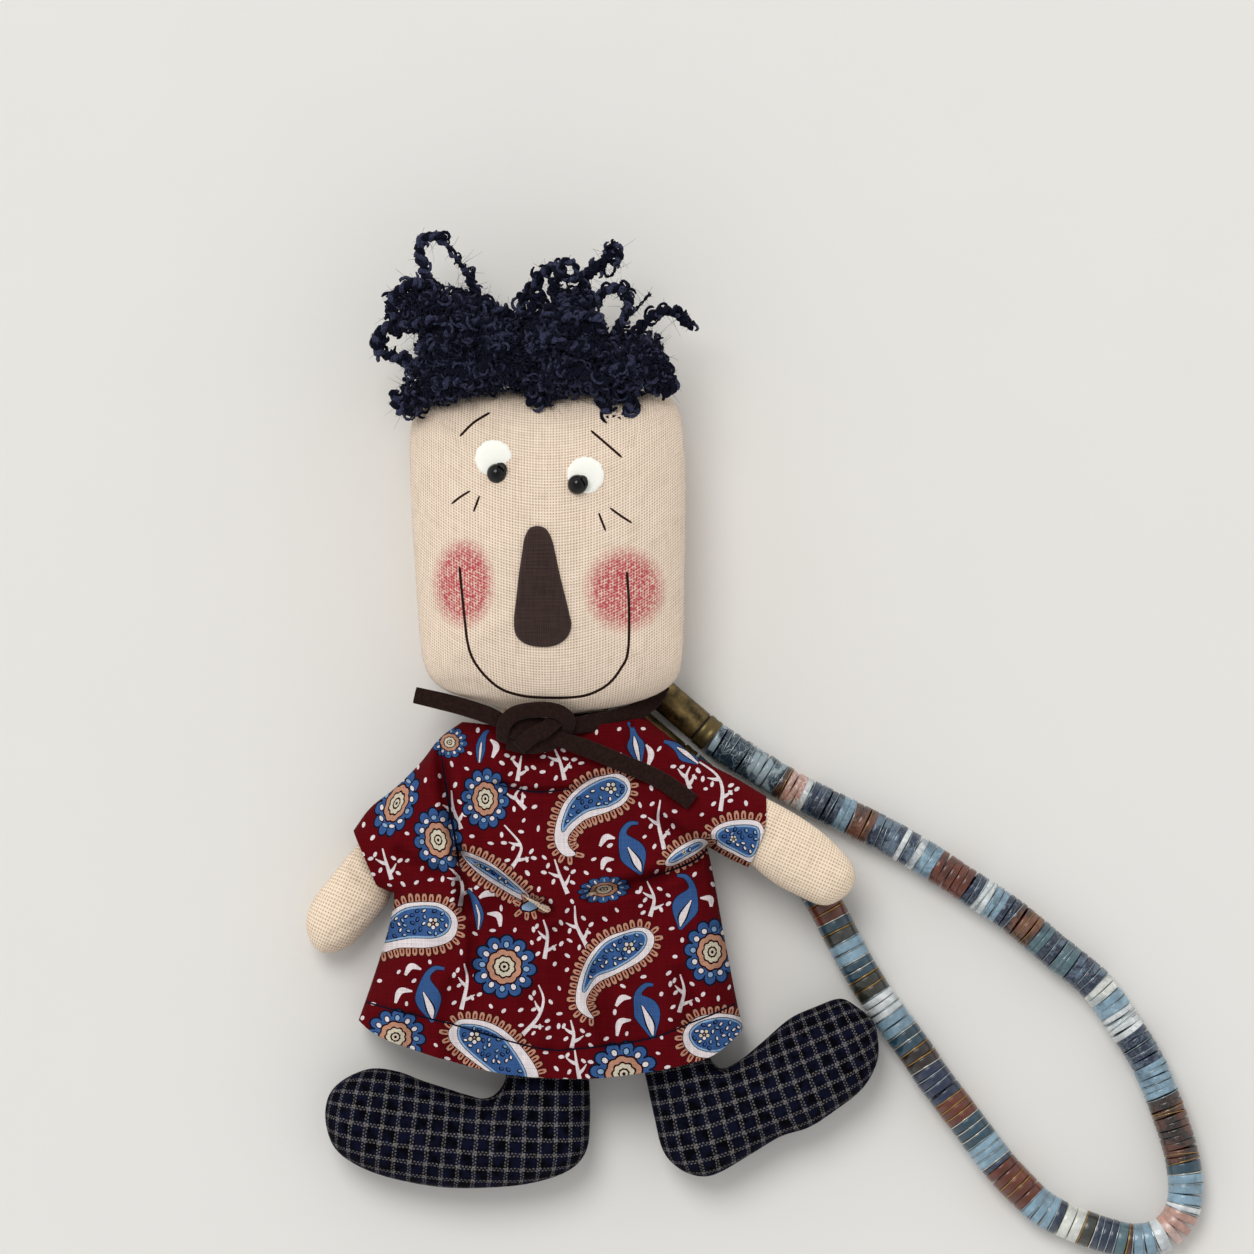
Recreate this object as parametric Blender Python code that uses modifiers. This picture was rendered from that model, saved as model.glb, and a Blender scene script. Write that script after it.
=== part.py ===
"""Rag doll charm: a small stuffed cloth doll on a strand of disc beads.

Metres. The doll lies on its back: +Z comes out of its face, +Y points to its hair and +X to the
right of someone who looks down on it. The origin is on the flat back of the dress, in the middle
of the body, so everything rests on the plane z = 0.
"""
import math

import bmesh
import bpy
from mathutils import Matrix, Vector
from mathutils.bvhtree import BVHTree

MM = 0.001

# Fits
GAP = 0.3 * MM              # between pieces that touch
FLOOR_GAP = 0.05 * MM       # between the table and what lies loose on it
CLOTH_WALL = 0.7 * MM       # dress cotton with its lining of seams
BEAD_DIAMETER = 6.0 * MM    # the right sleeve and arm lie over the strand
PATCH_LIFT = 2 * GAP        # under a patch, which bridges the curve below it

# Head
HEAD_WIDTH = 45.6 * MM
HEAD_HEIGHT = 54.5 * MM
HEAD_DEPTH = 26.0 * MM
HEAD_X = -2.0 * MM          # the head leans a little to the left of the body
NECK_Y = 35.8 * MM          # lower edge of the head
HEAD_FLAT = 0.8 * MM        # how far the stuffed back settles flat
# Share of the height from the neck, then left and right edge and depth as shares of the whole
HEAD_PROFILE = [
    (0.00, -0.18, 0.18, 0.16), (0.05, -0.34, 0.38, 0.60), (0.13, -0.43, 0.47, 0.86),
    (0.24, -0.475, 0.49, 0.97), (0.44, -0.49, 0.50, 1.00), (0.68, -0.50, 0.50, 1.00),
    (0.85, -0.495, 0.49, 0.93), (0.95, -0.46, 0.46, 0.70), (1.00, -0.38, 0.40, 0.30),
]

# Face
EYE_WHITE_DIAMETER = 6.2 * MM
EYE_WHITE_THICKNESS = 0.5 * MM
PUPIL_DIAMETER = 3.4 * MM
PUPIL_THICKNESS = 1.7 * MM
EYE_PLACES = {"left": (-10.8 * MM, 78.3 * MM), "right": (4.3 * MM, 75.5 * MM)}
PUPIL_OFFSETS = {"left": (0.5 * MM, -2.5 * MM), "right": (-1.3 * MM, -1.5 * MM)}
NOSE_TOP_WIDTH = 4.2 * MM
NOSE_BOTTOM_WIDTH = 9.6 * MM
NOSE_LENGTH = 20.0 * MM
NOSE_THICKNESS = 1.2 * MM
NOSE_PLACE = (-3.1 * MM, 57.2 * MM)
NOSE_LEAN = 2.0             # degrees

# Torso and limbs
TORSO_WIDTH = 38.0 * MM
TORSO_DEPTH = 14.0 * MM
TORSO_LENGTH = 53.0 * MM
TORSO_LOW = CLOTH_WALL + 2 * GAP    # on the dress's back
# Share of the length from the neck, centre x in mm, share of the width, low and high share
TORSO_PROFILE = [
    (0.11, -3.6, 0.56, 0.15, 0.95), (0.22, -3.0, 0.84, 0.0, 1.0), (0.42, -1.5, 0.93, 0.0, 1.0),
    (0.64, -0.8, 1.03, 0.0, 0.97), (0.86, -0.5, 0.98, 0.02, 0.82), (1.0, -0.5, 0.8, 0.2, 0.68),
]
NECK_WIDTH = 10.2 * MM
NECK_DEPTH = 7.5 * MM
NECK_LENGTH = 2.8 * MM
NECK_INTO_HEAD = 1.5 * MM   # before the neck is shaped to the head
NECK_X = -4.2 * MM
NECK_LOW = TORSO_LOW + TORSO_DEPTH - NECK_DEPTH - 1.0 * MM
ARM_WIDTH = 9.8 * MM
ARM_DEPTH = 8.8 * MM
ARM_LIFT = 0.6 * MM         # the left arm hangs a little clear of the table
LEG_WIDTH = 16.5 * MM
LEG_DEPTH = 12.6 * MM
# Routes of the limbs from the torso outwards: x and y in mm, width share, low and high share
ARM_ROUTES = {
    "left": [
        (-16.0, 22.5, 0.80, 0.17, 1.08), (-21.6, 19.6, 0.86, 0.16, 1.08), (-26.9, 15.4, 0.86, 0.14, 1.06),
        (-31.4, 10.9, 0.88, 0.12, 1.00), (-35.4, 5.6, 1.04, 0.00, 1.00), (-37.8, 1.2, 0.94, 0.03, 0.96),
        (-38.8, -1.9, 0.66, 0.15, 0.85), (-39.1, -3.4, 0.24, 0.35, 0.65),
    ],
    "right": [
        (12.0, 22.9, 0.84, 0.15, 1.00), (20.0, 22.0, 0.92, 0.13, 1.01), (27.0, 19.8, 0.94, 0.12, 1.01),
        (33.6, 16.0, 0.96, 0.11, 0.99), (40.2, 12.0, 1.06, 0.02, 1.00), (45.0, 8.9, 0.94, 0.03, 0.96),
        (47.6, 7.2, 0.66, 0.15, 0.85), (49.0, 6.4, 0.24, 0.35, 0.65),
    ],
}
LEG_ROUTES = {
    "left": [
        (-4.0, -14.0, 0.70, 0.16, 0.80), (-2.6, -20.0, 0.76, 0.14, 0.82), (-2.0, -25.5, 0.82, 0.11, 0.90),
        (-3.0, -31.5, 1.04, 0.00, 1.05), (-8.6, -35.6, 1.13, -0.03, 1.05), (-15.6, -35.3, 0.98, -0.03, 1.03),
        (-23.5, -33.7, 1.04, -0.03, 1.04), (-31.0, -31.8, 1.05, -0.03, 1.00), (-36.4, -31.0, 0.82, 0.05, 0.88),
        (-38.8, -31.0, 0.36, 0.30, 0.62),
    ],
    "right": [
        (12.0, -13.0, 0.62, 0.18, 0.74), (16.0, -18.6, 0.60, 0.15, 0.70), (19.4, -25.0, 0.64, 0.11, 0.78),
        (21.4, -31.2, 0.84, 0.00, 0.98), (25.6, -34.3, 1.00, -0.03, 1.03), (32.0, -30.4, 0.93, -0.03, 1.02),
        (38.2, -25.4, 0.95, -0.03, 1.03), (44.2, -21.4, 1.00, -0.03, 1.00), (49.6, -18.6, 0.78, 0.05, 0.88),
        (52.2, -17.6, 0.36, 0.30, 0.62),
    ],
}

# Dress
# Left and right edge, y, rise of the middle, low, side and high of each row of the dress, in mm,
# from the neck to the hem; the last value is the share of the skirt's gathers
DRESS_ROWS = [
    (-10.6, 3.4, 33.4, 0.0, 5.6, 9.8, 15.8, 0.0), (-18.5, 12.0, 30.6, 0.4, 1.6, 7.5, 16.2, 0.0),
    (-20.7, 16.4, 26.7, 0.0, 0.0, 6.5, 16.8, 0.0), (-22.5, 21.6, 21.7, 0.0, 0.0, 6.2, 17.2, 0.0),
    (-25.0, 24.5, 14.2, 0.0, 0.0, 5.8, 17.4, 0.1), (-27.7, 26.2, 4.2, -0.6, 0.0, 5.2, 17.2, 0.3),
    (-29.8, 27.8, -3.3, -2.4, 0.0, 4.8, 16.6, 0.6), (-32.3, 29.5, -11.0, -5.6, 0.0, 4.2, 15.4, 0.9),
    (-33.7, 30.7, -15.8, -8.7, 0.0, 3.8, 14.5, 1.0),
]

# Creases of the front: start, end, depth and half width, in mm
CREASES = [
    (-20.0, 26.7, -16.0, 8.0, 1.0, 2.4), (-13.3, 13.3, -2.5, 4.2, 1.2, 2.4),
    (6.7, 7.5, 29.0, 14.2, 1.5, 2.6), (-10.0, 24.2, 1.7, 23.3, 0.8, 2.2),
    (6.0, 27.0, 22.0, 25.0, 0.8, 2.2), (-24.0, -4.0, -27.5, -14.0, 1.0, 2.4),
    (14.0, -2.0, 19.0, -18.0, 1.0, 2.6),
]
GATHERS = 4.5               # waves of the skirt across the front
GATHER_DEPTH = 0.55         # mm
OVERRUN = 12.0              # mm that the inner shapes run past each opening
OVER_STRAND = (BEAD_DIAMETER + FLOOR_GAP + GAP) / MM    # low side of what lies on the strand, in mm

# Sleeves as x, y, width, low and high, in mm, from the chest to the cuff
SLEEVES = {
    "left": [
        (-7.0, 22.0, 17.0, 1.5, 15.6), (-14.5, 22.0, 19.5, 0.6, 15.4), (-21.5, 20.0, 19.5, 0.3, 14.2),
        (-27.0, 15.6, 15.0, 0.2, 12.6), (-31.6, 11.4, 11.4, 0.2, 11.8),
    ],
    "right": [
        (4.0, 23.0, 15.0, 7.4, 15.8), (10.0, 23.0, 15.6, OVER_STRAND + 0.2, 16.6),
        (17.0, 22.6, 16.0, OVER_STRAND + 0.1, 17.0), (24.4, 21.4, 15.0, OVER_STRAND, 16.8),
        (32.8, 16.6, 12.4, OVER_STRAND, 16.4),
    ],
}

# Lace
LACE_WIDTH = 3.0 * MM
LACE_THICKNESS = 0.9 * MM
LACE_CLEARANCE = 1.6 * GAP  # over the dress, which is not flat between the lace's points
TURN_WIDTH = 1.7 * MM       # of the lace where it is wound round the neck
TURN_PLACE = 1.3 * MM       # middle of that turn below the head
KNOT_RISE = 3.2 * MM        # middle of the knot over the front of the neck
# The knot as x, y above the head's edge, width, low and high about its middle, in mm
LACE_KNOT = [
    (-10.4, -1.8, 2.6, -1.6, -0.2), (-8.6, -2.0, 5.2, -3.3, 1.6), (-4.2, -2.2, 6.6, -4.6, 2.4),
    (-0.2, -1.9, 5.2, -3.6, 1.8), (1.6, -1.7, 2.6, -1.8, -0.2),
]
# The lace's free tail on the left and its band on the right: x, y above the head's edge, and height
# over the knot's middle, in mm
LACE_TAIL = [(-5.0, -1.6, 0.0), (-11.0, 0.4, -2.6), (-17.5, 1.8, -4.6), (-24.0, 3.2, -6.2)]
LACE_BAND = [(-3.0, -1.4, 0.0), (3.5, -0.6, -3.4), (9.5, 0.8, -6.0), (15.2, 1.8, -7.6)]
# The tail on the right leaves the knot and then lies on the dress: x and y above the head's edge, in mm
LACE_DRAPE = [(-3.0, -2.0), (0.5, -3.2), (5.0, -5.4), (10.6, -7.8), (16.4, -10.6), (21.6, -13.6)]

# Hair
YARN_DIAMETER = 2.4 * MM
TUFT_DEPTH = 13.0 * MM
TUFT_WIDTH = 20.0 * MM      # from the head's edge up to the top of the mass
TUFT_KNOBS = 0.10           # how far the yarn's turns stand out, as a share of the radius
# Mass of each tuft: x, y above the head's edge in mm, width share, low and high share
TUFTS = {
    "left": [(-6.5, 3.0, 0.56, 0.2, 0.85), (-11.0, 5.2, 0.82, 0.05, 1.0), (-18.0, 6.8, 0.98, 0.0, 1.0),
             (-24.0, 6.6, 0.86, 0.05, 0.95), (-28.0, 6.2, 0.50, 0.2, 0.8), (-29.6, 6.0, 0.2, 0.4, 0.6)],
    "right": [(-6.1, 3.0, 0.56, 0.2, 0.85), (-1.4, 5.2, 0.86, 0.05, 1.0), (6.0, 6.6, 0.98, 0.0, 1.0),
              (12.4, 6.0, 0.88, 0.05, 0.95), (16.6, 5.4, 0.54, 0.2, 0.8), (18.6, 5.2, 0.2, 0.4, 0.6)],
}
# Loops of yarn as points: x and y above the head's edge in mm, depth share
YARN_LOOPS = {
    "left": [
        [(-17.5, 11.0, 0.5), (-20.3, 15.5, 0.5), (-22.6, 20.6, 0.55), (-23.0, 24.0, 0.55),
         (-20.6, 25.2, 0.6), (-18.8, 23.0, 0.6), (-16.6, 19.6, 0.55), (-14.4, 16.4, 0.5), (-14.0, 10.0, 0.5)],
        [(-24.0, 10.5, 0.5), (-29.2, 9.8, 0.5), (-31.0, 7.0, 0.5), (-29.6, 3.6, 0.5), (-25.0, 1.6, 0.5)],
        [(-22.0, 3.0, 0.75), (-24.4, -0.4, 0.8), (-25.6, -3.4, 0.85)],
        [(-20.0, 11.0, 0.6), (-23.4, 15.2, 0.6), (-26.8, 14.4, 0.6), (-27.4, 9.0, 0.6)],
        [(-14.0, 10.0, 0.7), (-9.6, 12.6, 0.7), (-7.4, 9.4, 0.7), (-8.2, 6.0, 0.6)],
    ],
    "right": [
        [(-4.4, 8.0, 0.6), (-6.0, 13.0, 0.6), (-5.0, 16.8, 0.6), (-1.6, 19.4, 0.6),
         (1.6, 17.6, 0.6), (2.4, 12.0, 0.6)],
        [(4.4, 12.0, 0.5), (5.2, 18.6, 0.5), (7.6, 22.4, 0.5), (9.6, 21.4, 0.5), (9.2, 17.0, 0.5)],
        [(8.0, 10.0, 0.5), (11.0, 15.0, 0.5), (10.6, 17.0, 0.55)],
        [(12.4, 8.0, 0.5), (16.6, 12.4, 0.5), (21.0, 12.0, 0.5)],
        [(14.4, 5.0, 0.6), (18.4, 2.4, 0.6), (19.6, -0.4, 0.6)],
        [(5.6, 3.0, 0.85), (8.6, -1.6, 0.9), (10.2, -4.4, 0.9)],
        [(-3.6, 3.0, 0.85), (-3.0, -2.0, 0.95), (-0.6, -0.6, 0.95)],
    ],
}

# Strand
STRAND_Z = BEAD_DIAMETER / 2 + FLOOR_GAP
CAP_DIAMETER = 5.4 * MM
CAP_BORE = 4.4 * MM
CAP_LENGTH = 12.0 * MM
CAP_FLOOR = 1.2 * MM        # closed end
COLLAR_LENGTH = 2.4 * MM
COLLAR_RELIEF = 0.15 * MM
EYE_RADIUS = 1.25 * MM      # wire centre of a cap's eye
EYE_WIRE = 0.4 * MM
RING_WIRE = 0.35 * MM
RING_RADIUS = 1.9 * MM
HANG_WIRE = 0.25 * MM
HANG_RADIUS = 0.95 * MM
HANG_LENGTH = 8.0 * MM
HANG_SLACK = 0.4 * MM       # how far the loop reaches into the ring
RING_TILT = 32.0            # degrees down from the caps' eyes
CAP_MOUTH = (25.4 * MM, 32.1 * MM)  # of the upper cap
CAP_SPREAD = 6.4 * MM       # between the two caps, which lie side by side
CAP_HEADING = -40.5         # degrees, from the closed end to the mouth

# The strand's route from the mouth of the upper cap to the mouth of the lower one, in mm
STRAND_ROUTE = [
    (25.7, 31.8), (31.3, 28.1), (38.0, 24.0), (43.7, 21.0), (49.2, 18.3), (56.2, 14.7),
    (62.8, 10.7), (69.2, 6.5), (75.5, 2.3), (82.7, -3.7), (89.5, -9.3), (94.3, -16.0),
    (97.7, -21.3), (100.3, -27.0), (102.5, -33.0), (104.0, -38.3), (104.6, -43.5),
    (103.7, -47.8), (100.8, -51.0), (96.3, -52.2), (91.3, -51.2), (85.7, -49.2),
    (80.8, -46.8), (77.2, -43.5), (73.3, -39.3), (67.8, -32.0), (62.3, -24.7),
    (60.0, -21.2), (56.8, -16.8), (53.0, -11.5), (50.0, -6.7), (46.8, -0.8), (44.3, 4.0),
    (40.2, 10.2), (35.0, 15.4), (29.0, 20.4), (23.7, 25.0), (21.5, 26.9),
]

# Runs of beads of one colour along the strand, with their lengths in mm; the last run takes the rest
BEAD_RUNS = [
    ("teal", 14.2), ("pink", 4.3), ("navy", 5.5), ("sky", 2.4), ("brown", 4.0), ("navy", 8.0),
    ("sky", 4.3), ("brown", 8.5), ("cream", 4.7), ("navy", 2.3), ("brown", 4.8), ("teal", 8.0),
    ("navy", 5.2), ("cream", 2.6), ("sky", 3.0), ("cream", 4.2), ("navy", 6.0), ("sky", 5.8),
    ("brown", 11.6), ("teal", 2.0), ("sky", 5.2), ("pink", 5.8), ("cream", 2.2), ("sky", 6.5),
    ("navy", 5.9), ("cream", 3.7), ("sky", 6.0), ("brown", 8.0), ("sky", 5.0), ("teal", 4.6),
    ("brown", 4.4), ("navy", 13.6), ("sky", 3.5), ("cream", 4.0), ("teal", 6.8), ("sky", 3.7),
    ("teal", 3.9), ("brown", 3.7), ("teal", None),
]
BEAD_CHAMFER = 0.3 * MM
BEAD_STEP = 2.8 * MM        # between points along a run

# Colour, roughness and metallic value of each material
FINISHES = {
    "linen": ((0.72, 0.58, 0.45), 0.9, 0.0),
    "eye_white": ((0.78, 0.74, 0.70), 0.6, 0.0),
    "black_glass": ((0.01, 0.01, 0.012), 0.1, 0.0),
    "nose_cloth": ((0.045, 0.028, 0.025), 0.85, 0.0),
    "yarn": ((0.012, 0.014, 0.035), 0.95, 0.0),
    "lace": ((0.018, 0.012, 0.012), 0.8, 0.0),
    "print_cotton": ((0.22, 0.015, 0.025), 0.85, 0.0),
    "arm_cloth": ((0.62, 0.49, 0.37), 0.9, 0.0),
    "check_cloth": ((0.012, 0.012, 0.03), 0.9, 0.0),
    "brass": ((0.20, 0.15, 0.06), 0.38, 1.0),
    "thread": ((0.02, 0.015, 0.015), 0.8, 0.0),
    "bead_teal": ((0.015, 0.06, 0.09), 0.15, 0.0),
    "bead_navy": ((0.008, 0.014, 0.035), 0.15, 0.0),
    "bead_sky": ((0.25, 0.40, 0.50), 0.2, 0.0),
    "bead_cream": ((0.68, 0.68, 0.62), 0.2, 0.0),
    "bead_pink": ((0.55, 0.30, 0.24), 0.2, 0.0),
    "bead_brown": ((0.12, 0.03, 0.012), 0.15, 0.0),
}


def clear_scene():
    for obj in list(bpy.data.objects):
        bpy.data.objects.remove(obj, do_unlink=True)


def new_collection(name):
    collection = bpy.data.collections.new(name)
    bpy.context.scene.collection.children.link(collection)
    return collection


def material(name):
    found = bpy.data.materials.get(name)
    if found:
        return found
    colour, roughness, metallic = FINISHES[name]
    made = bpy.data.materials.new(name)
    made.use_nodes = True
    shader = made.node_tree.nodes["Principled BSDF"]
    shader.inputs["Base Color"].default_value = (*colour, 1.0)
    shader.inputs["Roughness"].default_value = roughness
    shader.inputs["Metallic"].default_value = metallic
    made.diffuse_color = (*colour, 1.0)
    return made


def add_object(name, mesh, finish, collection):
    obj = bpy.data.objects.new(name, mesh)
    collection.objects.link(obj)
    if finish:
        mesh.materials.clear()
        mesh.materials.append(material(finish))
    return obj


def evaluated_mesh(obj):
    depsgraph = bpy.context.evaluated_depsgraph_get()
    return bpy.data.meshes.new_from_object(obj.evaluated_get(depsgraph), depsgraph=depsgraph)


def catmull_rom(knots, steps):
    """Tuples on a smooth curve through the knots, `steps` of them for each span, ends included."""
    first = tuple(2 * a - b for a, b in zip(knots[0], knots[1]))
    last = tuple(2 * a - b for a, b in zip(knots[-1], knots[-2]))
    row = [first, *knots, last]
    found = []
    for i in range(1, len(row) - 2):
        for step in range(steps):
            t = step / steps
            found.append(tuple(
                0.5 * (2 * b + (c - a) * t + (2 * a - 5 * b + 4 * c - d) * t**2
                       + (3 * b - a - 3 * c + d) * t**3)
                for a, b, c, d in zip(row[i - 1], row[i], row[i + 1], row[i + 2])))
    found.append(tuple(knots[-1]))
    return found


def loft(name, rings, finish, collection):
    """A closed solid through rings of the same number of points, with a flat face at each end."""
    shape = bmesh.new()
    rows = [[shape.verts.new(point) for point in ring] for ring in rings]
    sides = len(rings[0])
    for lower, upper in zip(rows, rows[1:]):
        for i in range(sides):
            j = (i + 1) % sides
            shape.faces.new((lower[i], lower[j], upper[j], upper[i]))
    shape.faces.new(rows[0][::-1])
    shape.faces.new(rows[-1])
    bmesh.ops.recalc_face_normals(shape, faces=shape.faces)
    mesh = bpy.data.meshes.new(name)
    shape.to_mesh(mesh)
    shape.free()
    mesh.shade_smooth()
    mesh.set_sharp_from_angle(angle=math.radians(50))
    return add_object(name, mesh, finish, collection)


def stuffed_ring(centre, across, low, high, sides, squareness):
    """One upright superellipse: `across` is half its width, as a vector in the plane."""
    middle = (low + high) / 2
    half = (high - low) / 2
    power = 2 / squareness
    ring = []
    for i in range(sides):
        angle = 2 * math.pi * (i + 0.5) / sides
        reach = math.copysign(abs(math.cos(angle)) ** power, math.cos(angle))
        lift = math.copysign(abs(math.sin(angle)) ** power, math.sin(angle))
        ring.append(Vector((centre.x + across.x * reach, centre.y + across.y * reach, middle + half * lift)))
    return ring


def stuffed_rings(stations, sides, squareness, steps, upright=None):
    """Rings along a smooth path through stations (x, y, width, low, high).

    Each ring stands across the path, or across `upright` where that is given.
    """
    smooth = catmull_rom(stations, steps)
    rings = []
    for i, (x, y, width, low, high) in enumerate(smooth):
        before = smooth[max(i - 1, 0)]
        after = smooth[min(i + 1, len(smooth) - 1)]
        heading = upright or Vector((after[0] - before[0], after[1] - before[1])).normalized()
        across = Vector((-heading.y, heading.x)) * width / 2
        rings.append(stuffed_ring(Vector((x, y)), across, low, high, sides, squareness))
    return rings


def stuffed(name, stations, finish, collection, sides=16, squareness=2.2, steps=2, upright=None):
    rings = stuffed_rings(stations, sides, squareness, steps, upright)
    return loft(name, rings, finish, collection)


def boolean(obj, tool, operation):
    modifier = obj.modifiers.new(f"{operation.lower()}_{tool.name}", "BOOLEAN")
    modifier.operation = operation
    modifier.object = tool


def as_cutter(obj):
    obj.hide_render = True
    obj.display_type = "WIRE"
    return obj


def clearance_of(obj, cutters):
    """A cutter that stands off the object's surface by the gap."""
    tool = as_cutter(add_object(f"clearance_{obj.name}", evaluated_mesh(obj), None, cutters))
    displace = tool.modifiers.new("stand_off", "DISPLACE")
    displace.strength = GAP * 1.2
    displace.mid_level = 0.0
    return tool


def floor_cutter(cutters):
    bpy.ops.mesh.primitive_cube_add(size=1)
    block = bpy.context.object
    block.name = "floor_cutter"
    block.data.transform(block.matrix_world)
    block.scale = (0.4, 0.4, 0.02)
    block.location = (0, 0, -0.01)
    for collection in list(block.users_collection):
        collection.objects.unlink(block)
    cutters.objects.link(block)
    return as_cutter(block)


def surface_tree(obj):
    depsgraph = bpy.context.evaluated_depsgraph_get()
    return BVHTree.FromObject(obj, depsgraph)


def drop_on(trees, x, y):
    """Highest point under (x, y) on any of the surfaces."""
    hits = [tree.ray_cast(Vector((x, y, 0.1)), Vector((0, 0, -1)))[0] for tree in trees]
    return max((hit.z for hit in hits if hit), default=0.0)


def yarn_mesh(points, radius, sides_level=1):
    """A welded mesh of a round tube through the points, with closed ends."""
    curve = bpy.data.curves.new("yarn", "CURVE")
    curve.dimensions = "3D"
    curve.bevel_depth = radius
    curve.bevel_resolution = sides_level
    curve.use_fill_caps = True
    spline = curve.splines.new("POLY")
    spline.points.add(len(points) - 1)
    for knot, point in zip(spline.points, points):
        knot.co = (*point, 1.0)
    guide = bpy.data.objects.new("yarn_guide", curve)
    bpy.context.scene.collection.objects.link(guide)
    mesh = evaluated_mesh(guide)
    shape = bmesh.new()
    shape.from_mesh(mesh)
    bmesh.ops.remove_doubles(shape, verts=shape.verts, dist=0.01 * MM)
    bmesh.ops.recalc_face_normals(shape, faces=shape.faces)
    shape.to_mesh(mesh)
    shape.free()
    bpy.data.objects.remove(guide, do_unlink=True)
    return mesh


def ring_path(centre, along, normal, straight, radius, turns=6):
    """Points round an oval: two straights `along` a direction, joined by half circles."""
    side = normal.cross(along)
    points = []
    for end in (1, -1):
        for i in range(turns + 1):
            angle = math.pi * i / turns - math.pi / 2
            out = along * math.cos(angle) + side * math.sin(angle)
            points.append(centre + end * (along * straight / 2 + out * radius))
    return points


def closed_wire(name, points, normal, wire, finish, collection, sides=6):
    """A round wire that runs round closed points lying in the plane of `normal`."""
    rings = []
    count = len(points)
    for i, point in enumerate(points):
        heading = (points[(i + 1) % count] - points[i - 1]).normalized()
        out = heading.cross(normal)
        rings.append([
            point + wire * (out * math.cos(2 * math.pi * k / sides) + normal * math.sin(2 * math.pi * k / sides))
            for k in range(sides)])
    shape = bmesh.new()
    rows = [[shape.verts.new(point) for point in ring] for ring in rings]
    for i, row in enumerate(rows):
        following = rows[(i + 1) % count]
        for k in range(sides):
            j = (k + 1) % sides
            shape.faces.new((row[k], row[j], following[j], following[k]))
    bmesh.ops.recalc_face_normals(shape, faces=shape.faces)
    mesh = bpy.data.meshes.new(name)
    shape.to_mesh(mesh)
    shape.free()
    mesh.shade_smooth()
    return add_object(name, mesh, finish, collection)


def build_head(doll, cutters):
    """A stuffed bag, nearly rectangular, widest across the eyes and flat where it lies."""
    stations = []
    for share, left, right, depth in HEAD_PROFILE:
        x = HEAD_X + HEAD_WIDTH * (left + right) / 2
        y = NECK_Y + HEAD_HEIGHT * share
        middle = HEAD_DEPTH / 2 - HEAD_FLAT
        half = HEAD_DEPTH / 2 * depth
        low = middle - half
        stations.append((x, y, HEAD_WIDTH * (right - left), low, middle + half + HEAD_FLAT))
    head = stuffed("head", stations, "linen", doll, sides=24, squareness=2.5,
                   upright=Vector((0, 1)))
    boolean(head, cutters.objects["floor_cutter"], "DIFFERENCE")
    return head


def patch_on(name, flat, tree, thickness, finish, collection):
    """A thin piece that follows a surface: a flat mesh dropped on it, then thickened."""
    for vert in flat.verts:
        vert.co.z = drop_on([tree], vert.co.x, vert.co.y) + PATCH_LIFT
    bmesh.ops.recalc_face_normals(flat, faces=flat.faces)
    mesh = bpy.data.meshes.new(name)
    flat.to_mesh(mesh)
    flat.free()
    obj = add_object(name, mesh, finish, collection)
    shell = obj.modifiers.new("thickness", "SOLIDIFY")
    shell.thickness = thickness
    shell.offset = 1.0
    return obj


def build_eye(side, doll, tree):
    """A disc of cloth with a glossy bead on it."""
    flat = bmesh.new()
    bmesh.ops.create_circle(flat, cap_ends=True, cap_tris=True, segments=14,
                            radius=EYE_WHITE_DIAMETER / 2)
    bmesh.ops.translate(flat, verts=flat.verts, vec=(*EYE_PLACES[side], 0))
    white = patch_on(f"eye_white_{side}", flat, tree, EYE_WHITE_THICKNESS, "eye_white", doll)
    bead = bmesh.new()
    bmesh.ops.create_uvsphere(bead, u_segments=12, v_segments=7, radius=PUPIL_DIAMETER / 2)
    bmesh.ops.scale(bead, verts=bead.verts, vec=(1, 1, PUPIL_THICKNESS / PUPIL_DIAMETER))
    x = EYE_PLACES[side][0] + PUPIL_OFFSETS[side][0]
    y = EYE_PLACES[side][1] + PUPIL_OFFSETS[side][1]
    seat = drop_on([surface_tree(white)], x, y)
    bmesh.ops.translate(bead, verts=bead.verts, vec=(x, y, seat + GAP + PUPIL_THICKNESS / 2))
    mesh = bpy.data.meshes.new(f"pupil_bead_{side}")
    bead.to_mesh(mesh)
    bead.free()
    mesh.shade_smooth()
    add_object(f"pupil_bead_{side}", mesh, "black_glass", doll)


def build_nose(doll, tree):
    """A long ribbed patch, narrow at the top, with its corners rounded off."""
    rows = 8
    columns = 4
    corner = 0.72
    lean = Matrix.Rotation(math.radians(NOSE_LEAN), 2)
    flat = bmesh.new()
    bmesh.ops.create_grid(flat, x_segments=columns, y_segments=rows, size=0.5)
    for vert in flat.verts:
        down = 0.5 - vert.co.y
        width = NOSE_TOP_WIDTH + (NOSE_BOTTOM_WIDTH - NOSE_TOP_WIDTH) * down
        if abs(vert.co.y) > 0.49:
            width *= corner
        spot = lean @ Vector((vert.co.x * width, vert.co.y * NOSE_LENGTH))
        vert.co.x = spot.x + NOSE_PLACE[0]
        vert.co.y = spot.y + NOSE_PLACE[1]
    patch_on("nose_patch", flat, tree, NOSE_THICKNESS, "nose_cloth", doll)


def build_face(doll, head):
    tree = surface_tree(head)
    for side in EYE_PLACES:
        build_eye(side, doll, tree)
    build_nose(doll, tree)


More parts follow.
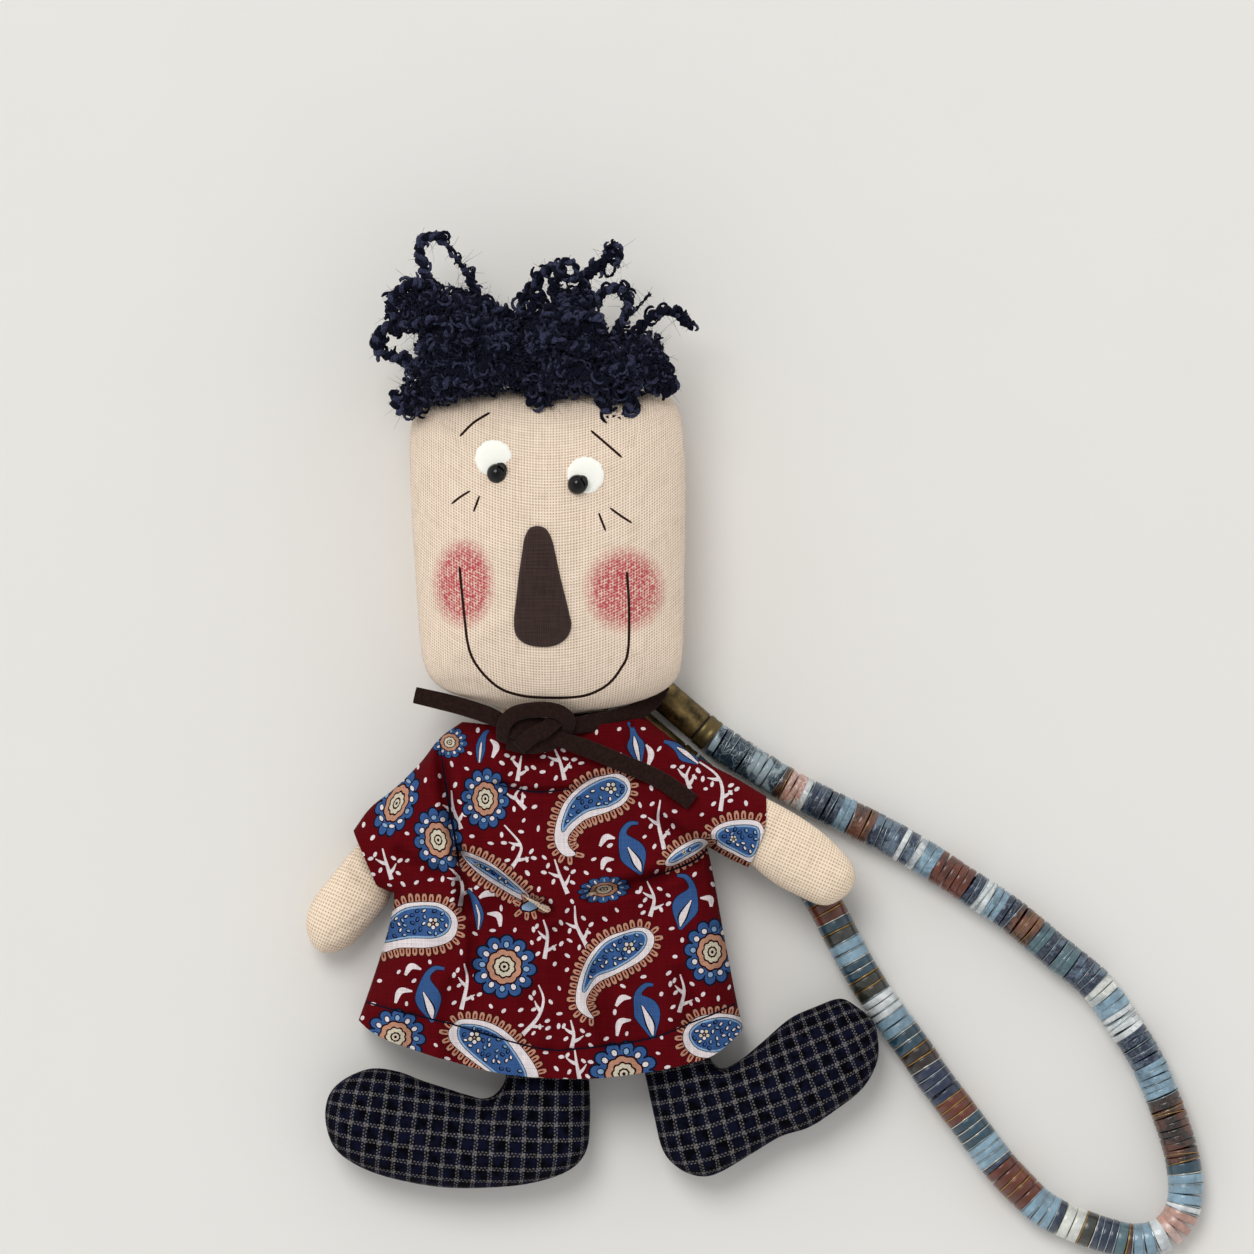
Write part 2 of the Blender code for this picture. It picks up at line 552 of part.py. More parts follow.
def build_torso(doll, head_clearance):
    """The stuffed body with its neck; the neck's end is shaped to the head above it."""
    stations = [
        (NECK_X, NECK_Y + NECK_INTO_HEAD, NECK_WIDTH, NECK_LOW, NECK_LOW + NECK_DEPTH),
        (NECK_X, NECK_Y - NECK_LENGTH, NECK_WIDTH, NECK_LOW, NECK_LOW + NECK_DEPTH),
    ]
    for share, x, width, bottom, top in TORSO_PROFILE:
        stations.append((x * MM, NECK_Y - TORSO_LENGTH * share, TORSO_WIDTH * width,
                         TORSO_LOW + TORSO_DEPTH * bottom, TORSO_LOW + TORSO_DEPTH * top))
    torso = stuffed("torso", stations, "linen", doll, sides=14, squareness=2.3,
                    upright=Vector((0, -1)))
    boolean(torso, head_clearance, "DIFFERENCE")
    return torso


def limb(name, route, size, depth, lift, finish, doll, sides=14):
    """A stuffed tube along a route of (x, y, width share, low share, high share), in mm."""
    stations = [(x * MM, y * MM, size * width, lift + depth * low, lift + depth * high)
                for x, y, width, low, high in route]
    return stuffed(name, stations, finish, doll, sides=sides, squareness=2.2)


def build_arms(doll, torso_clearance):
    left = limb("arm_left", ARM_ROUTES["left"], ARM_WIDTH, ARM_DEPTH, ARM_LIFT, "arm_cloth", doll)
    right = limb("arm_right", ARM_ROUTES["right"], ARM_WIDTH, ARM_DEPTH, OVER_STRAND * MM, "arm_cloth", doll)
    for arm in (left, right):
        boolean(arm, torso_clearance, "DIFFERENCE")


def build_legs(doll, cutters, torso_clearance):
    for side, route in LEG_ROUTES.items():
        leg = limb(f"leg_{side}", route, LEG_WIDTH, LEG_DEPTH, 0.0, "check_cloth", doll, sides=16)
        boolean(leg, torso_clearance, "DIFFERENCE")
        boolean(leg, cutters.objects["floor_cutter"], "DIFFERENCE")


def crease_depth(x, y):
    """How far the front sinks at a point (mm) along the creases."""
    depth = 0.0
    for x0, y0, x1, y1, deep, half in CREASES:
        run = Vector((x1 - x0, y1 - y0))
        share = max(0.0, min(1.0, Vector((x - x0, y - y0)).dot(run) / run.length_squared))
        away = (Vector((x0, y0)) + run * share - Vector((x, y))).length
        depth += deep * math.exp(-(away / half) ** 2) * math.sin(math.pi * (0.15 + 0.7 * share))
    return depth


def dress_ring(row, inset, top_points=17, bottom_points=7):
    """One closed row of the dress: a flat back and a domed, creased front, inset by a wall."""
    left, right, y, rise, low, side, high, gather = row
    left += inset
    right -= inset
    ring = []
    for i in range(top_points):
        s = -math.cos(math.pi * i / (top_points - 1))
        x = (left + right) / 2 + (right - left) / 2 * s
        dome = (1 - abs(s) ** 2.4) ** 0.55
        wave = GATHER_DEPTH * gather * math.sin(2 * math.pi * GATHERS * (s + 1) / 2) * dome
        depth = crease_depth(x, y) * dome
        z = side + (high - inset - side) * dome + wave - depth
        ring.append(Vector((x, y + rise * (1 - s * s), z)) * MM)
    for i in range(1, bottom_points):
        s = math.cos(math.pi * i / bottom_points)
        x = (left + right) / 2 + (right - left) / 2 * s
        sink = min(1.0, 1.6 * (1 - abs(s) ** 3) ** 0.5)
        z = side - (side - low - inset) * sink
        ring.append(Vector((x, y + rise * (1 - s * s), z)) * MM)
    return ring


def dress_body(name, inset, overrun, finish, collection):
    rows = [list(row) for row in catmull_rom(DRESS_ROWS, 2)]
    if overrun:
        first = list(rows[0])
        first[2] += overrun
        last = list(rows[-1])
        last[2] -= overrun
        rows = [first, *rows, last]
    return loft(name, [dress_ring(row, inset) for row in rows], finish, collection)


def sleeve(name, route, inset, overrun, finish, collection):
    """A short tube; the inner one runs past the cuff so that the cuff is open."""
    stations = [list(station) for station in route]
    if overrun:
        (x0, y0), (x1, y1) = stations[-2][:2], stations[-1][:2]
        length = math.hypot(x1 - x0, y1 - y0)
        end = list(stations[-1])
        end[0] += (x1 - x0) / length * overrun
        end[1] += (y1 - y0) / length * overrun
        stations.append(end)
    placed = [(x * MM, y * MM, (width - 2 * inset) * MM, (low + inset) * MM, (high - inset) * MM)
              for x, y, width, low, high in stations]
    return stuffed(name, placed, finish, collection, sides=14, squareness=2.6)


def build_dress(doll, cutters):
    """Outer bodice and sleeves joined, then the same shapes a wall smaller taken out."""
    wall = CLOTH_WALL / MM
    dress = dress_body("dress", 0.0, 0.0, "print_cotton", doll)
    for side, route in SLEEVES.items():
        outer = as_cutter(sleeve(f"sleeve_outer_{side}", route, 0.0, 0.0, None, cutters))
        boolean(dress, outer, "UNION")
    boolean(dress, as_cutter(dress_body("dress_inside", wall, OVERRUN, None, cutters)), "DIFFERENCE")
    for side, route in SLEEVES.items():
        inner = as_cutter(sleeve(f"sleeve_inside_{side}", route, wall, OVERRUN, None, cutters))
        boolean(dress, inner, "DIFFERENCE")
    return dress


def band(name, rings, finish, collection):
    """A closed hoop: four rings, each joined to the next and the last to the first."""
    shape = bmesh.new()
    rows = [[shape.verts.new(point) for point in ring] for ring in rings]
    sides = len(rings[0])
    for row, following in zip(rows, rows[1:] + rows[:1]):
        for i in range(sides):
            j = (i + 1) % sides
            shape.faces.new((row[i], row[j], following[j], following[i]))
    bmesh.ops.recalc_face_normals(shape, faces=shape.faces)
    mesh = bpy.data.meshes.new(name)
    shape.to_mesh(mesh)
    shape.free()
    return add_object(name, mesh, finish, collection)


def strip(name, points, cutters):
    """A flat strip of the lace through the points, as a cutter to join on."""
    half = LACE_THICKNESS / 2
    stations = [(x, y, LACE_WIDTH, z - half, z + half) for x, y, z in points]
    return stuffed(name, stations, None, cutters, sides=4, squareness=4, steps=2)


def build_lace(doll, cutters, clearances, trees):
    """One flat lace: a turn round the neck, a knot on the chest and two tails."""
    knot_z = NECK_LOW + NECK_DEPTH + KNOT_RISE
    outer = LACE_THICKNESS + 2 * GAP
    inner = 2 * GAP
    turn = []
    for reach, side in ((outer, 1), (outer, -1), (inner, -1), (inner, 1)):
        middle = Vector((NECK_X, NECK_Y - TURN_PLACE + side * TURN_WIDTH / 2))
        across = Vector((NECK_WIDTH / 2 + reach, 0))
        turn.append(stuffed_ring(middle, across, NECK_LOW - reach, NECK_LOW + NECK_DEPTH + reach, 16, 2.3))
    lace = band("neck_lace", turn, "lace", doll)

    def placed(points):
        return [(x * MM, NECK_Y + y * MM, knot_z + z * MM) for x, y, z in points]

    stations = [(x * MM, NECK_Y + y * MM, width * MM, knot_z + low * MM, knot_z + high * MM)
                for x, y, width, low, high in LACE_KNOT]
    knot = stuffed("lace_knot", stations, None, cutters, sides=10, steps=1)
    left_tail = strip("lace_tail_left", placed(LACE_TAIL), cutters)
    right_band = strip("lace_band_right", placed(LACE_BAND), cutters)
    draped = placed([(*LACE_DRAPE[0], 0.0)])
    for x, y in LACE_DRAPE[1:]:
        rest = drop_on(trees, x * MM, NECK_Y + y * MM) + LACE_CLEARANCE + LACE_THICKNESS / 2
        draped.append((x * MM, NECK_Y + y * MM, rest))
    right_tail = strip("lace_tail_right", draped, cutters)
    for piece in (knot, left_tail, right_band, right_tail):
        boolean(lace, as_cutter(piece), "UNION")
    for tool in clearances:
        boolean(lace, tool, "DIFFERENCE")
    return lace


def knobbly(ring, number):
    """The ring with three soft knobs, which turn from one ring to the next."""
    middle = sum(ring, Vector()) / len(ring)
    turned = []
    for i, point in enumerate(ring):
        angle = 2 * math.pi * i / len(ring)
        swell = 1 + TUFT_KNOBS * math.sin(3 * angle + 1.9 * number)
        turned.append(middle + (point - middle) * swell)
    return turned


def build_hair(doll, cutters, head_clearance):
    """Two lumpy bundles of yarn on the top edge of the head, each with its loops."""
    edge = (NECK_Y + HEAD_HEIGHT) / MM
    low = (HEAD_DEPTH - TUFT_DEPTH) / MM - 3.0
    high = HEAD_DEPTH / MM - 1.6
    size = TUFT_WIDTH / MM
    for side, core in TUFTS.items():
        stations = [(x * MM, (edge + y) * MM, width * size * MM,
                     (low + (high - low) * bottom) * MM, (low + (high - low) * top) * MM)
                    for x, y, width, bottom, top in core]
        rings = stuffed_rings(stations, 14, 2.0, 2, upright=Vector((1, 0)))
        tuft = loft(f"hair_tuft_{side}", [knobbly(ring, i) for i, ring in enumerate(rings)], "yarn", doll)
        for number, loop in enumerate(YARN_LOOPS[side], 1):
            route = [(x * MM, (edge + y) * MM, (low + (high - low) * share) * MM) for x, y, share in loop]
            mesh = yarn_mesh(route, YARN_DIAMETER / 2)
            strand = as_cutter(add_object(f"yarn_{side}_{number}", mesh, None, cutters))
            boolean(tuft, strand, "UNION")
        boolean(tuft, head_clearance, "DIFFERENCE")


def build_caps(doll, cutters):
    """Two turned brass caps with their eyes, the oval ring through both and its thread loop."""
    heading = math.radians(CAP_HEADING)
    out = Vector((math.cos(heading), math.sin(heading), 0))
    flank = Vector((-out.y, out.x, 0))
    up = Vector((0, 0, 1))
    radius = CAP_DIAMETER / 2
    # Radius and height of the turned outline, from the bottom of the bore to the closed end
    collar = CAP_LENGTH - COLLAR_LENGTH
    profile = [
        (0.0, CAP_FLOOR), (CAP_BORE / 2, CAP_FLOOR), (CAP_BORE / 2, CAP_LENGTH),
        (radius + COLLAR_RELIEF, CAP_LENGTH), (radius + COLLAR_RELIEF, collar + COLLAR_RELIEF),
        (radius, collar), (radius, radius * 0.35), (radius * 0.7, 0.0), (0.0, 0.0),
    ]
    eyes = []
    for side, spread in (("upper", 0.0), ("lower", CAP_SPREAD)):
        mouth = Vector((*CAP_MOUTH, STRAND_Z)) - flank * spread
        closed_end = mouth - out * CAP_LENGTH
        mesh = bpy.data.meshes.new(f"end_cap_{side}")
        shape = bmesh.new()
        verts = [shape.verts.new((r, 0, z)) for r, z in profile]
        for first, second in zip(verts, verts[1:]):
            shape.edges.new((first, second))
        shape.to_mesh(mesh)
        shape.free()
        cap = add_object(f"end_cap_{side}", mesh, "brass", doll)
        cap.location = closed_end
        cap.rotation_euler = (math.pi / 2, 0, heading + math.pi / 2)
        turn = cap.modifiers.new("turn", "SCREW")
        turn.steps = 16
        turn.render_steps = 16
        turn.use_merge_vertices = True
        turn.merge_threshold = 0.01 * MM
        eye_centre = closed_end - out * (EYE_RADIUS + 0.5 * EYE_WIRE)
        eyes.append(eye_centre)
        points = ring_path(eye_centre, out, flank, 0.0, EYE_RADIUS)
        eye = closed_wire(f"cap_eye_{side}", points[:6] + points[7:13], flank, EYE_WIRE, None, cutters)
        boolean(cap, as_cutter(eye), "UNION")
    middle = (eyes[0] + eyes[1]) / 2
    ring_length = CAP_SPREAD + 4 * EYE_WIRE
    # The ring hangs down from the eyes, so that it clears the head
    tilt = math.radians(RING_TILT)
    back = -out * math.cos(tilt) - up * math.sin(tilt)
    ring_centre = middle + back * RING_RADIUS
    ring_normal = flank.cross(back)
    ring = ring_path(ring_centre, flank, ring_normal, ring_length, RING_RADIUS)
    closed_wire("oval_ring", ring, ring_normal, RING_WIRE, "brass", doll)
    # The thread loop leads from the ring's end to the back of the neck
    arc_centre = ring_centre - flank * ring_length / 2
    neck_spot = Vector((NECK_X + 1.5 * MM, NECK_Y - 0.6 * MM, arc_centre.z))
    towards = (neck_spot - arc_centre).normalized()
    reach = -flank * towards.dot(-flank) + back * towards.dot(-out) / math.cos(tilt)
    touch = arc_centre + reach.normalized() * RING_RADIUS
    side_way = up.cross(towards)
    loop_centre = touch + towards * (HANG_LENGTH / 2 - HANG_SLACK)
    loop = ring_path(loop_centre, towards, side_way, HANG_LENGTH, HANG_RADIUS)
    closed_wire("hang_loop", loop, side_way, HANG_WIRE, "thread", doll)


def strand_samples():
    """Points every short step along the strand's smooth centreline, with their distance."""
    smooth = catmull_rom(STRAND_ROUTE, 12)
    points = [Vector((x * MM, y * MM, STRAND_Z)) for x, y in smooth]
    distances = [0.0]
    for first, second in zip(points, points[1:]):
        distances.append(distances[-1] + (second - first).length)
    return points, distances


def point_at(points, distances, where):
    for i in range(1, len(points)):
        if distances[i] >= where:
            share = (where - distances[i - 1]) / (distances[i] - distances[i - 1])
            return points[i - 1].lerp(points[i], share)
    return points[-1]


def build_strand(doll):
    """One tube for each run of beads of one colour; the thin ends leave a groove between runs."""
    points, distances = strand_samples()
    start = 0.0
    total = distances[-1]
    for number, (colour, length) in enumerate(BEAD_RUNS, 1):
        end = total if length is None else start + length * MM
        first = start + GAP / 2
        last = end - GAP / 2
        spans = max(1, round((last - first - 2 * BEAD_CHAMFER) / BEAD_STEP))
        inner = [first + BEAD_CHAMFER + (last - first - 2 * BEAD_CHAMFER) * i / spans for i in range(spans + 1)]
        curve = bpy.data.curves.new(f"bead_run_{number:02d}", "CURVE")
        curve.dimensions = "3D"
        curve.bevel_depth = BEAD_DIAMETER / 2
        curve.bevel_resolution = 2
        curve.use_fill_caps = True
        curve.materials.append(material(f"bead_{colour}"))
        spline = curve.splines.new("POLY")
        places = [first, *inner, last]
        spline.points.add(len(places) - 1)
        for knot, place in zip(spline.points, places):
            knot.co = (*point_at(points, distances, place), 1.0)
        for knot in (spline.points[0], spline.points[-1]):
            knot.radius = 1 - BEAD_CHAMFER / (BEAD_DIAMETER / 2)
        doll.objects.link(bpy.data.objects.new(f"bead_run_{number:02d}", curve))
        start = end


def main():
    clear_scene()
    doll = new_collection("rag_doll_charm")
    cutters = new_collection("cutters")
    floor_cutter(cutters)
    head = build_head(doll, cutters)
    build_face(doll, head)
    head_clearance = clearance_of(head, cutters)
    torso = build_torso(doll, head_clearance)
    torso_clearance = clearance_of(torso, cutters)
    build_arms(doll, torso_clearance)
    build_legs(doll, cutters, torso_clearance)
    dress = build_dress(doll, cutters)
    dress_clearance = clearance_of(dress, cutters)
    build_lace(doll, cutters, [head_clearance, torso_clearance, dress_clearance], [surface_tree(dress)])
    build_hair(doll, cutters, head_clearance)
    build_caps(doll, cutters)
    build_strand(doll)


main()
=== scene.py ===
"""Looks of the rag doll charm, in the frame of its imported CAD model: +Z towards the camera.

Plans are drawn in picture units, six to a millimetre, counted from the picture's upper left corner.
`plan` turns them into millimetres from the CAD's origin. Meshes are made in millimetres and scaled
to metres when they are stored.
"""

import math
import random

import bpy
import numpy as np
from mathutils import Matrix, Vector
from mathutils.bvhtree import BVHTree
from mathutils.geometry import delaunay_2d_cdt


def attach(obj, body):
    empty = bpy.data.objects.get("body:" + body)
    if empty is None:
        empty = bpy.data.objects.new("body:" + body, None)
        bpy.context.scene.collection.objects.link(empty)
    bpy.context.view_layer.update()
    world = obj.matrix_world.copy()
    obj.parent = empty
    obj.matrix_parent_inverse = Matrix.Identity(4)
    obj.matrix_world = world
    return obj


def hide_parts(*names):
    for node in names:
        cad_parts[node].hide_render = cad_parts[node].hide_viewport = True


MM = 0.001
UV_UNIT = 10.0
EDGE_STEP = 0.55
EDGE_RINGS = (0.07, 0.22, 0.45, 0.8, 1.25)
FIELD_SOFTNESS = 9.0
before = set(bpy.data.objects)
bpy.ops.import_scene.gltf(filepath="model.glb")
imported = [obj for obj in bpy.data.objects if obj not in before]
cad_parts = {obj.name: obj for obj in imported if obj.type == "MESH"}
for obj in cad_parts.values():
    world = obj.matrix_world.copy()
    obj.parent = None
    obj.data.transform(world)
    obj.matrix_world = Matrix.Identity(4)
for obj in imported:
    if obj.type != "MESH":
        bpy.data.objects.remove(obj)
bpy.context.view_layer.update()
scene = bpy.context.scene

PICTURE_SCALE = 6.0
PICTURE_ORIGIN = (560.0, 930.0)
PICTURE_CENTRE = (11.17, 50.5)
PICTURE_WIDTH = 209.0
SHARED_HEIGHT = 8.0
CAMERA_HEIGHT = 1600.0
SENSOR_WIDTH = 36.0

camera_data = bpy.data.cameras.new("camera")
camera = bpy.data.objects.new("camera", camera_data)
scene.collection.objects.link(camera)
scene.camera = camera
camera_data.sensor_width = SENSOR_WIDTH
camera_data.clip_start = 0.05
camera_data.clip_end = 10.0
camera_data.lens = SENSOR_WIDTH * (CAMERA_HEIGHT - SHARED_HEIGHT) / PICTURE_WIDTH
camera.location = (PICTURE_CENTRE[0] * MM, PICTURE_CENTRE[1] * MM, CAMERA_HEIGHT * MM)


# Shared tools


def plan(points):
    """Picture points in millimetres from the CAD's origin."""
    found = np.array(points, float)
    found = found.reshape(-1, found.shape[-1])
    return np.column_stack((
        (found[:, 0] - PICTURE_ORIGIN[0]) / PICTURE_SCALE, (PICTURE_ORIGIN[1] - found[:,
                1]) / PICTURE_SCALE))


def smooth(points, closed=False, steps=6):
    """A Catmull-Rom curve through points of any dimension."""
    row = [np.array(p, float) for p in points]
    if closed:
        row = [row[-1], *row, row[0], row[1]]
    else:
        row = [2 * row[0] - row[1], *row, 2 * row[-1] - row[-2]]
    found = []
    for a, b, c, d in zip(row, row[1:], row[2:], row[3:]):
        for step in range(steps):
            t = step / steps
            found.append(0.5 * (2 * b + (c - a) * t + (2 * a - 5 * b + 4 * c - d) * t**2
                                + (3 * b - a - 3 * c + d) * t**3))
    if not closed:
        found.append(row[-2])
    return np.array(found)


def distances(line):
    """How far along a line each of its points lies."""
    return np.concatenate(([0.0], np.cumsum(np.linalg.norm(np.diff(line, axis=0), axis=1))))


def resample(points, step, closed=False):
    """Points at equal distances of about `step` along a line."""
    line = np.vstack((points, points[:1])) if closed else np.asarray(points)
    along = distances(line)
    count = max(2, int(round(along[-1] / step)))
    wanted = np.linspace(0.0, along[-1], count + 1)
    if closed:
        wanted = wanted[:-1]
    return np.column_stack([np.interp(wanted, along, line[:, k]) for k in range(line.shape[1])])


def inside(points, polygon):
    """Which plan points lie in a closed outline."""
    x, y = points[:, 0], points[:, 1]
    found = np.zeros(len(points), bool)
    for (x0, y0), (x1, y1) in zip(polygon, np.roll(polygon, -1, axis=0)):
        if y0 == y1:
            continue
        found ^= ((y0 > y) != (y1 > y)) & (x < (x1 - x0) * (y - y0) / (y1 - y0) + x0)
    return found


def nearest(points, starts, ends):
    """Distance to the nearest of the segments, and the unit vector from it to the point."""
    distance = np.full(len(points), 1e9)
    away = np.zeros((len(points), 2))
    for a, b in zip(starts, ends):
        run = b - a
        share = np.clip(((points - a) @ run) / max(run @ run, 1e-12), 0.0, 1.0)
        off = points - (a + share[:, None] * run)
        d = np.linalg.norm(off, axis=1)
        closer = d < distance
        distance[closer] = d[closer]
        away[closer] = off[closer]
    return distance, away / np.maximum(distance, 1e-9)[:, None]


def area_of(polygon):
    """Area of a closed outline, negative where it runs clockwise."""
    x, y = polygon[:, 0], polygon[:, 1]
    return 0.5 * np.sum(x * np.roll(y, -1) - np.roll(x, -1) * y)


def unit(rows):
    """Each row as a vector of length one."""
    return rows / np.maximum(np.linalg.norm(rows, axis=1), 1e-9)[:, None]


def left_of(rows):
    """Plan vectors turned a quarter to the left."""
    return np.column_stack((-rows[:, 1], rows[:, 0]))


def inward_of(outline):
    """Unit vectors that point into a closed outline from each of its points."""
    inward = unit(left_of(np.roll(outline, -1, axis=0) - np.roll(outline, 1, axis=0)))
    return -inward if area_of(outline) < 0 else inward


def headings(line):
    """Unit vectors along a line at each of its points."""
    return unit(np.gradient(line, axis=0))


def field(samples):
    """A smooth function of plan points through samples (picture x, picture y, value)."""
    table = np.array(samples, float)
    centres = plan(table[:, :2])
    count = len(table)
    gaps = np.linalg.norm(centres[:, None] - centres[None], axis=2)
    poly = np.column_stack((np.ones(count), centres))
    system = np.zeros((count + 3, count + 3))
    system[:count, :count] = np.sqrt(gaps**2 + FIELD_SOFTNESS)
    system[:count, count:] = poly
    system[count:, :count] = poly.T
    weights = np.linalg.solve(system, np.concatenate((table[:, 2], np.zeros(3))))

    def value(points):
        reach = np.linalg.norm(points[:, None] - centres[None], axis=2)
        return (np.sqrt(reach**2 + FIELD_SOFTNESS) @ weights[:count]
                + weights[count] + points @ weights[count + 1:])

    return value


def waves(points, size, seed, count=14):
    """Soft random bumps of about the given size, from -1 to 1, made of a few plane waves."""
    rng = np.random.default_rng(seed)
    total = np.zeros(len(points))
    for _ in range(count):
        angle = rng.uniform(0, 2 * math.pi)
        pitch = size * rng.uniform(0.7, 1.6)
        phase = rng.uniform(0, 2 * math.pi)
        total += np.sin((points[:, 0] * math.cos(angle) + points[:, 1] * math.sin(angle))
                        * 2 * math.pi / pitch + phase)
    return total / math.sqrt(count * 2)


def rolled(share, power=2.2):
    """Height share of a rounded edge: 0 at the edge and 1 from a share of 1 inwards."""
    t = np.clip(1.0 - share, 0.0, 1.0)
    return (1.0 - t**power) ** (1.0 / power)


def triangulate(outline, grid, lines=(), rings=EDGE_RINGS):
    """Points and triangles that fill an outline, with the given closed lines as edges."""
    if area_of(outline) < 0:
        outline = outline[::-1]
    points = [tuple(p) for p in outline]
    count = len(points)
    edges = [(i, (i + 1) % count) for i in range(count)]
    for line in lines:
        first = len(points)
        points.extend(tuple(p) for p in line)
        edges.extend((first + i, first + (i + 1) % len(line)) for i in range(len(line)))
    inward = inward_of(outline)
    starts, ends = outline, np.roll(outline, -1, axis=0)
    for deep in rings:
        ring = outline + inward * deep
        off, _ = nearest(ring, starts, ends)
        points.extend(tuple(p) for p in ring[inside(ring, outline) & (off > 0.9 * deep)])
    low, high = outline.min(axis=0), outline.max(axis=0)
    rows = []
    for j, y in enumerate(np.arange(low[1], high[1], grid * 0.87)):
        xs = np.arange(low[0] + (j % 2) * grid / 2, high[0], grid)
        rows.append(np.column_stack((xs, np.full(len(xs), y))))
    free = np.vstack(rows)
    free = free[inside(free, outline)]
    off, _ = nearest(free, starts, ends)
    points.extend(tuple(p) for p in free[off > (rings[-1] if rings else 0.0) + 0.4 * grid])
    out = delaunay_2d_cdt([Vector(p) for p in points], edges, [], 0, 1e-5)
    found = np.array([tuple(p) for p in out[0]])
    faces = np.array([f for f in out[2] if len(f) == 3])
    kept = faces[inside(found[faces].mean(axis=1), outline)]
    a, b, c = (found[kept[:, k]] for k in range(3))
    turn = (b[:, 0] - a[:, 0]) * (c[:, 1] - a[:, 1]) - (b[:, 1] - a[:, 1]) * (c[:, 0] - a[:, 0])
    kept[turn < 0] = kept[turn < 0][:, ::-1]
    return found, kept


def sound(faces):
    """Faces with no corner twice, and their numbers; two faces on the same corners both go."""
    trimmed = [tuple(dict.fromkeys(map(int, face))) for face in faces]
    seen = {}
    for face in trimmed:
        corners = frozenset(face)
        seen[corners] = seen.get(corners, 0) + 1
    kept = [k for k, face in enumerate(trimmed) if len(face) > 2 and seen[frozenset(face)] == 1]
    return [trimmed[k] for k in kept], kept


def store(name, points, faces, materials, picks=None, uv=None):
    """A mesh object from points in millimetres."""
    faces, kept = sound(faces)
    mesh = bpy.data.meshes.new(name)
    mesh.from_pydata((np.asarray(points) * MM).tolist(), [], faces)
    for material in materials:
        mesh.materials.append(material)
    if picks is not None:
        mesh.polygons.foreach_set("material_index", np.asarray(picks, np.int32)[kept])
    if uv is not None:
        layer = mesh.uv_layers.new(name="UVMap")
        index = np.zeros(len(mesh.loops), np.int32)
        mesh.loops.foreach_get("vertex_index", index)
        layer.data.foreach_set("uv", (np.asarray(uv)[index] / UV_UNIT).astype(np.float32).ravel())
    mesh.polygons.foreach_set("use_smooth", np.full(len(mesh.polygons), True))
    mesh.update()
    obj = bpy.data.objects.new(name, mesh)
    scene.collection.objects.link(obj)
    return obj


def part(obj, slot, *nodes):
    """Hangs a mesh under the root body and hides the CAD nodes that it stands for; the slot is not used."""
    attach(obj, "root")
    if nodes:
        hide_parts(*nodes)
    return obj


class Builder:
    """Collects several shapes, each with a material number, in one mesh."""

    def __init__(self):
        self.points = []
        self.faces = []
        self.picks = []
        self.uv = []
        self.count = 0

    def add(self, points, faces, pick=0, uv=None):
        points = np.asarray(points, float)
        self.points.append(points)
        self.faces.extend([[int(i) + self.count for i in f] for f in faces])
        self.picks.extend([pick] * len(faces))
        self.uv.append(points[:, :2] if uv is None else np.asarray(uv, float))
        self.count += len(points)

    def tube(self, line, radii, sides=8, caps=True, pick=0):
        self.add(*tube(line, radii, sides, caps), pick)

    def store(self, name, materials):
        return store(name, np.vstack(self.points), self.faces, materials, self.picks, np.vstack(self.uv))


def hoops(rings, sides, lids=False):
    """Faces between neighbouring rings of points, and perhaps one over each end."""
    faces = []
    for i in range(rings - 1):
        for k in range(sides):
            j = (k + 1) % sides
            faces.append((i * sides + k, i * sides + j, (i + 1) * sides + j, (i + 1) * sides + k))
    if lids:
        faces.append(tuple(range(sides))[::-1])
        faces.append(tuple((rings - 1) * sides + k for k in range(sides)))
    return faces


def tube(centres, radii, sides=8, caps=True):
    """Points and faces of a round tube with a radius at each centre."""
    centres = np.asarray(centres, float)
    count = len(centres)
    radii = np.broadcast_to(np.asarray(radii, float), (count,))
    heading = headings(centres)
    normal = np.cross(heading[0], (0.0, 0.0, 1.0))
    if np.linalg.norm(normal) < 1e-3:
        normal = np.cross(heading[0], (1.0, 0.0, 0.0))
    normals = []
    for h in heading:
        normal = normal - h * (normal @ h)
        normal = normal / max(np.linalg.norm(normal), 1e-9)
        normals.append(normal)
    normals = np.array(normals)
    others = np.cross(heading, normals)
    angles = np.arange(sides) * 2 * math.pi / sides
    ring = (np.cos(angles)[None, :, None] * normals[:, None] + np.sin(angles)[None, :, None] * others[:,
            None])
    points = (centres[:, None] + ring * radii[:, None, None]).reshape(-1, 3)
    return points, hoops(count, sides, caps)


def lathe(profile, origin, axis, side, segments=32, shape=None):
    """Points and faces of an outline (radius, height) turned about an axis."""
    origin, axis, side = (np.asarray(v, float) for v in (origin, axis, side))
    other = np.cross(axis, side)
    angles = np.arange(segments) * 2 * math.pi / segments
    ring = np.cos(angles)[:, None] * side + np.sin(angles)[:, None] * other
    points = np.vstack([origin + axis * height + ring * radius for radius, height in profile])
    if shape is not None:
        points = shape(points)
    return points, hoops(len(profile), segments)


def srgb(*values):
    """Linear colour from 0-255 picture values."""
    return tuple(((v / 255 + 0.055) / 1.055) ** 2.4 if v > 10 else v / 255 / 12.92 for v in values)


# Materials


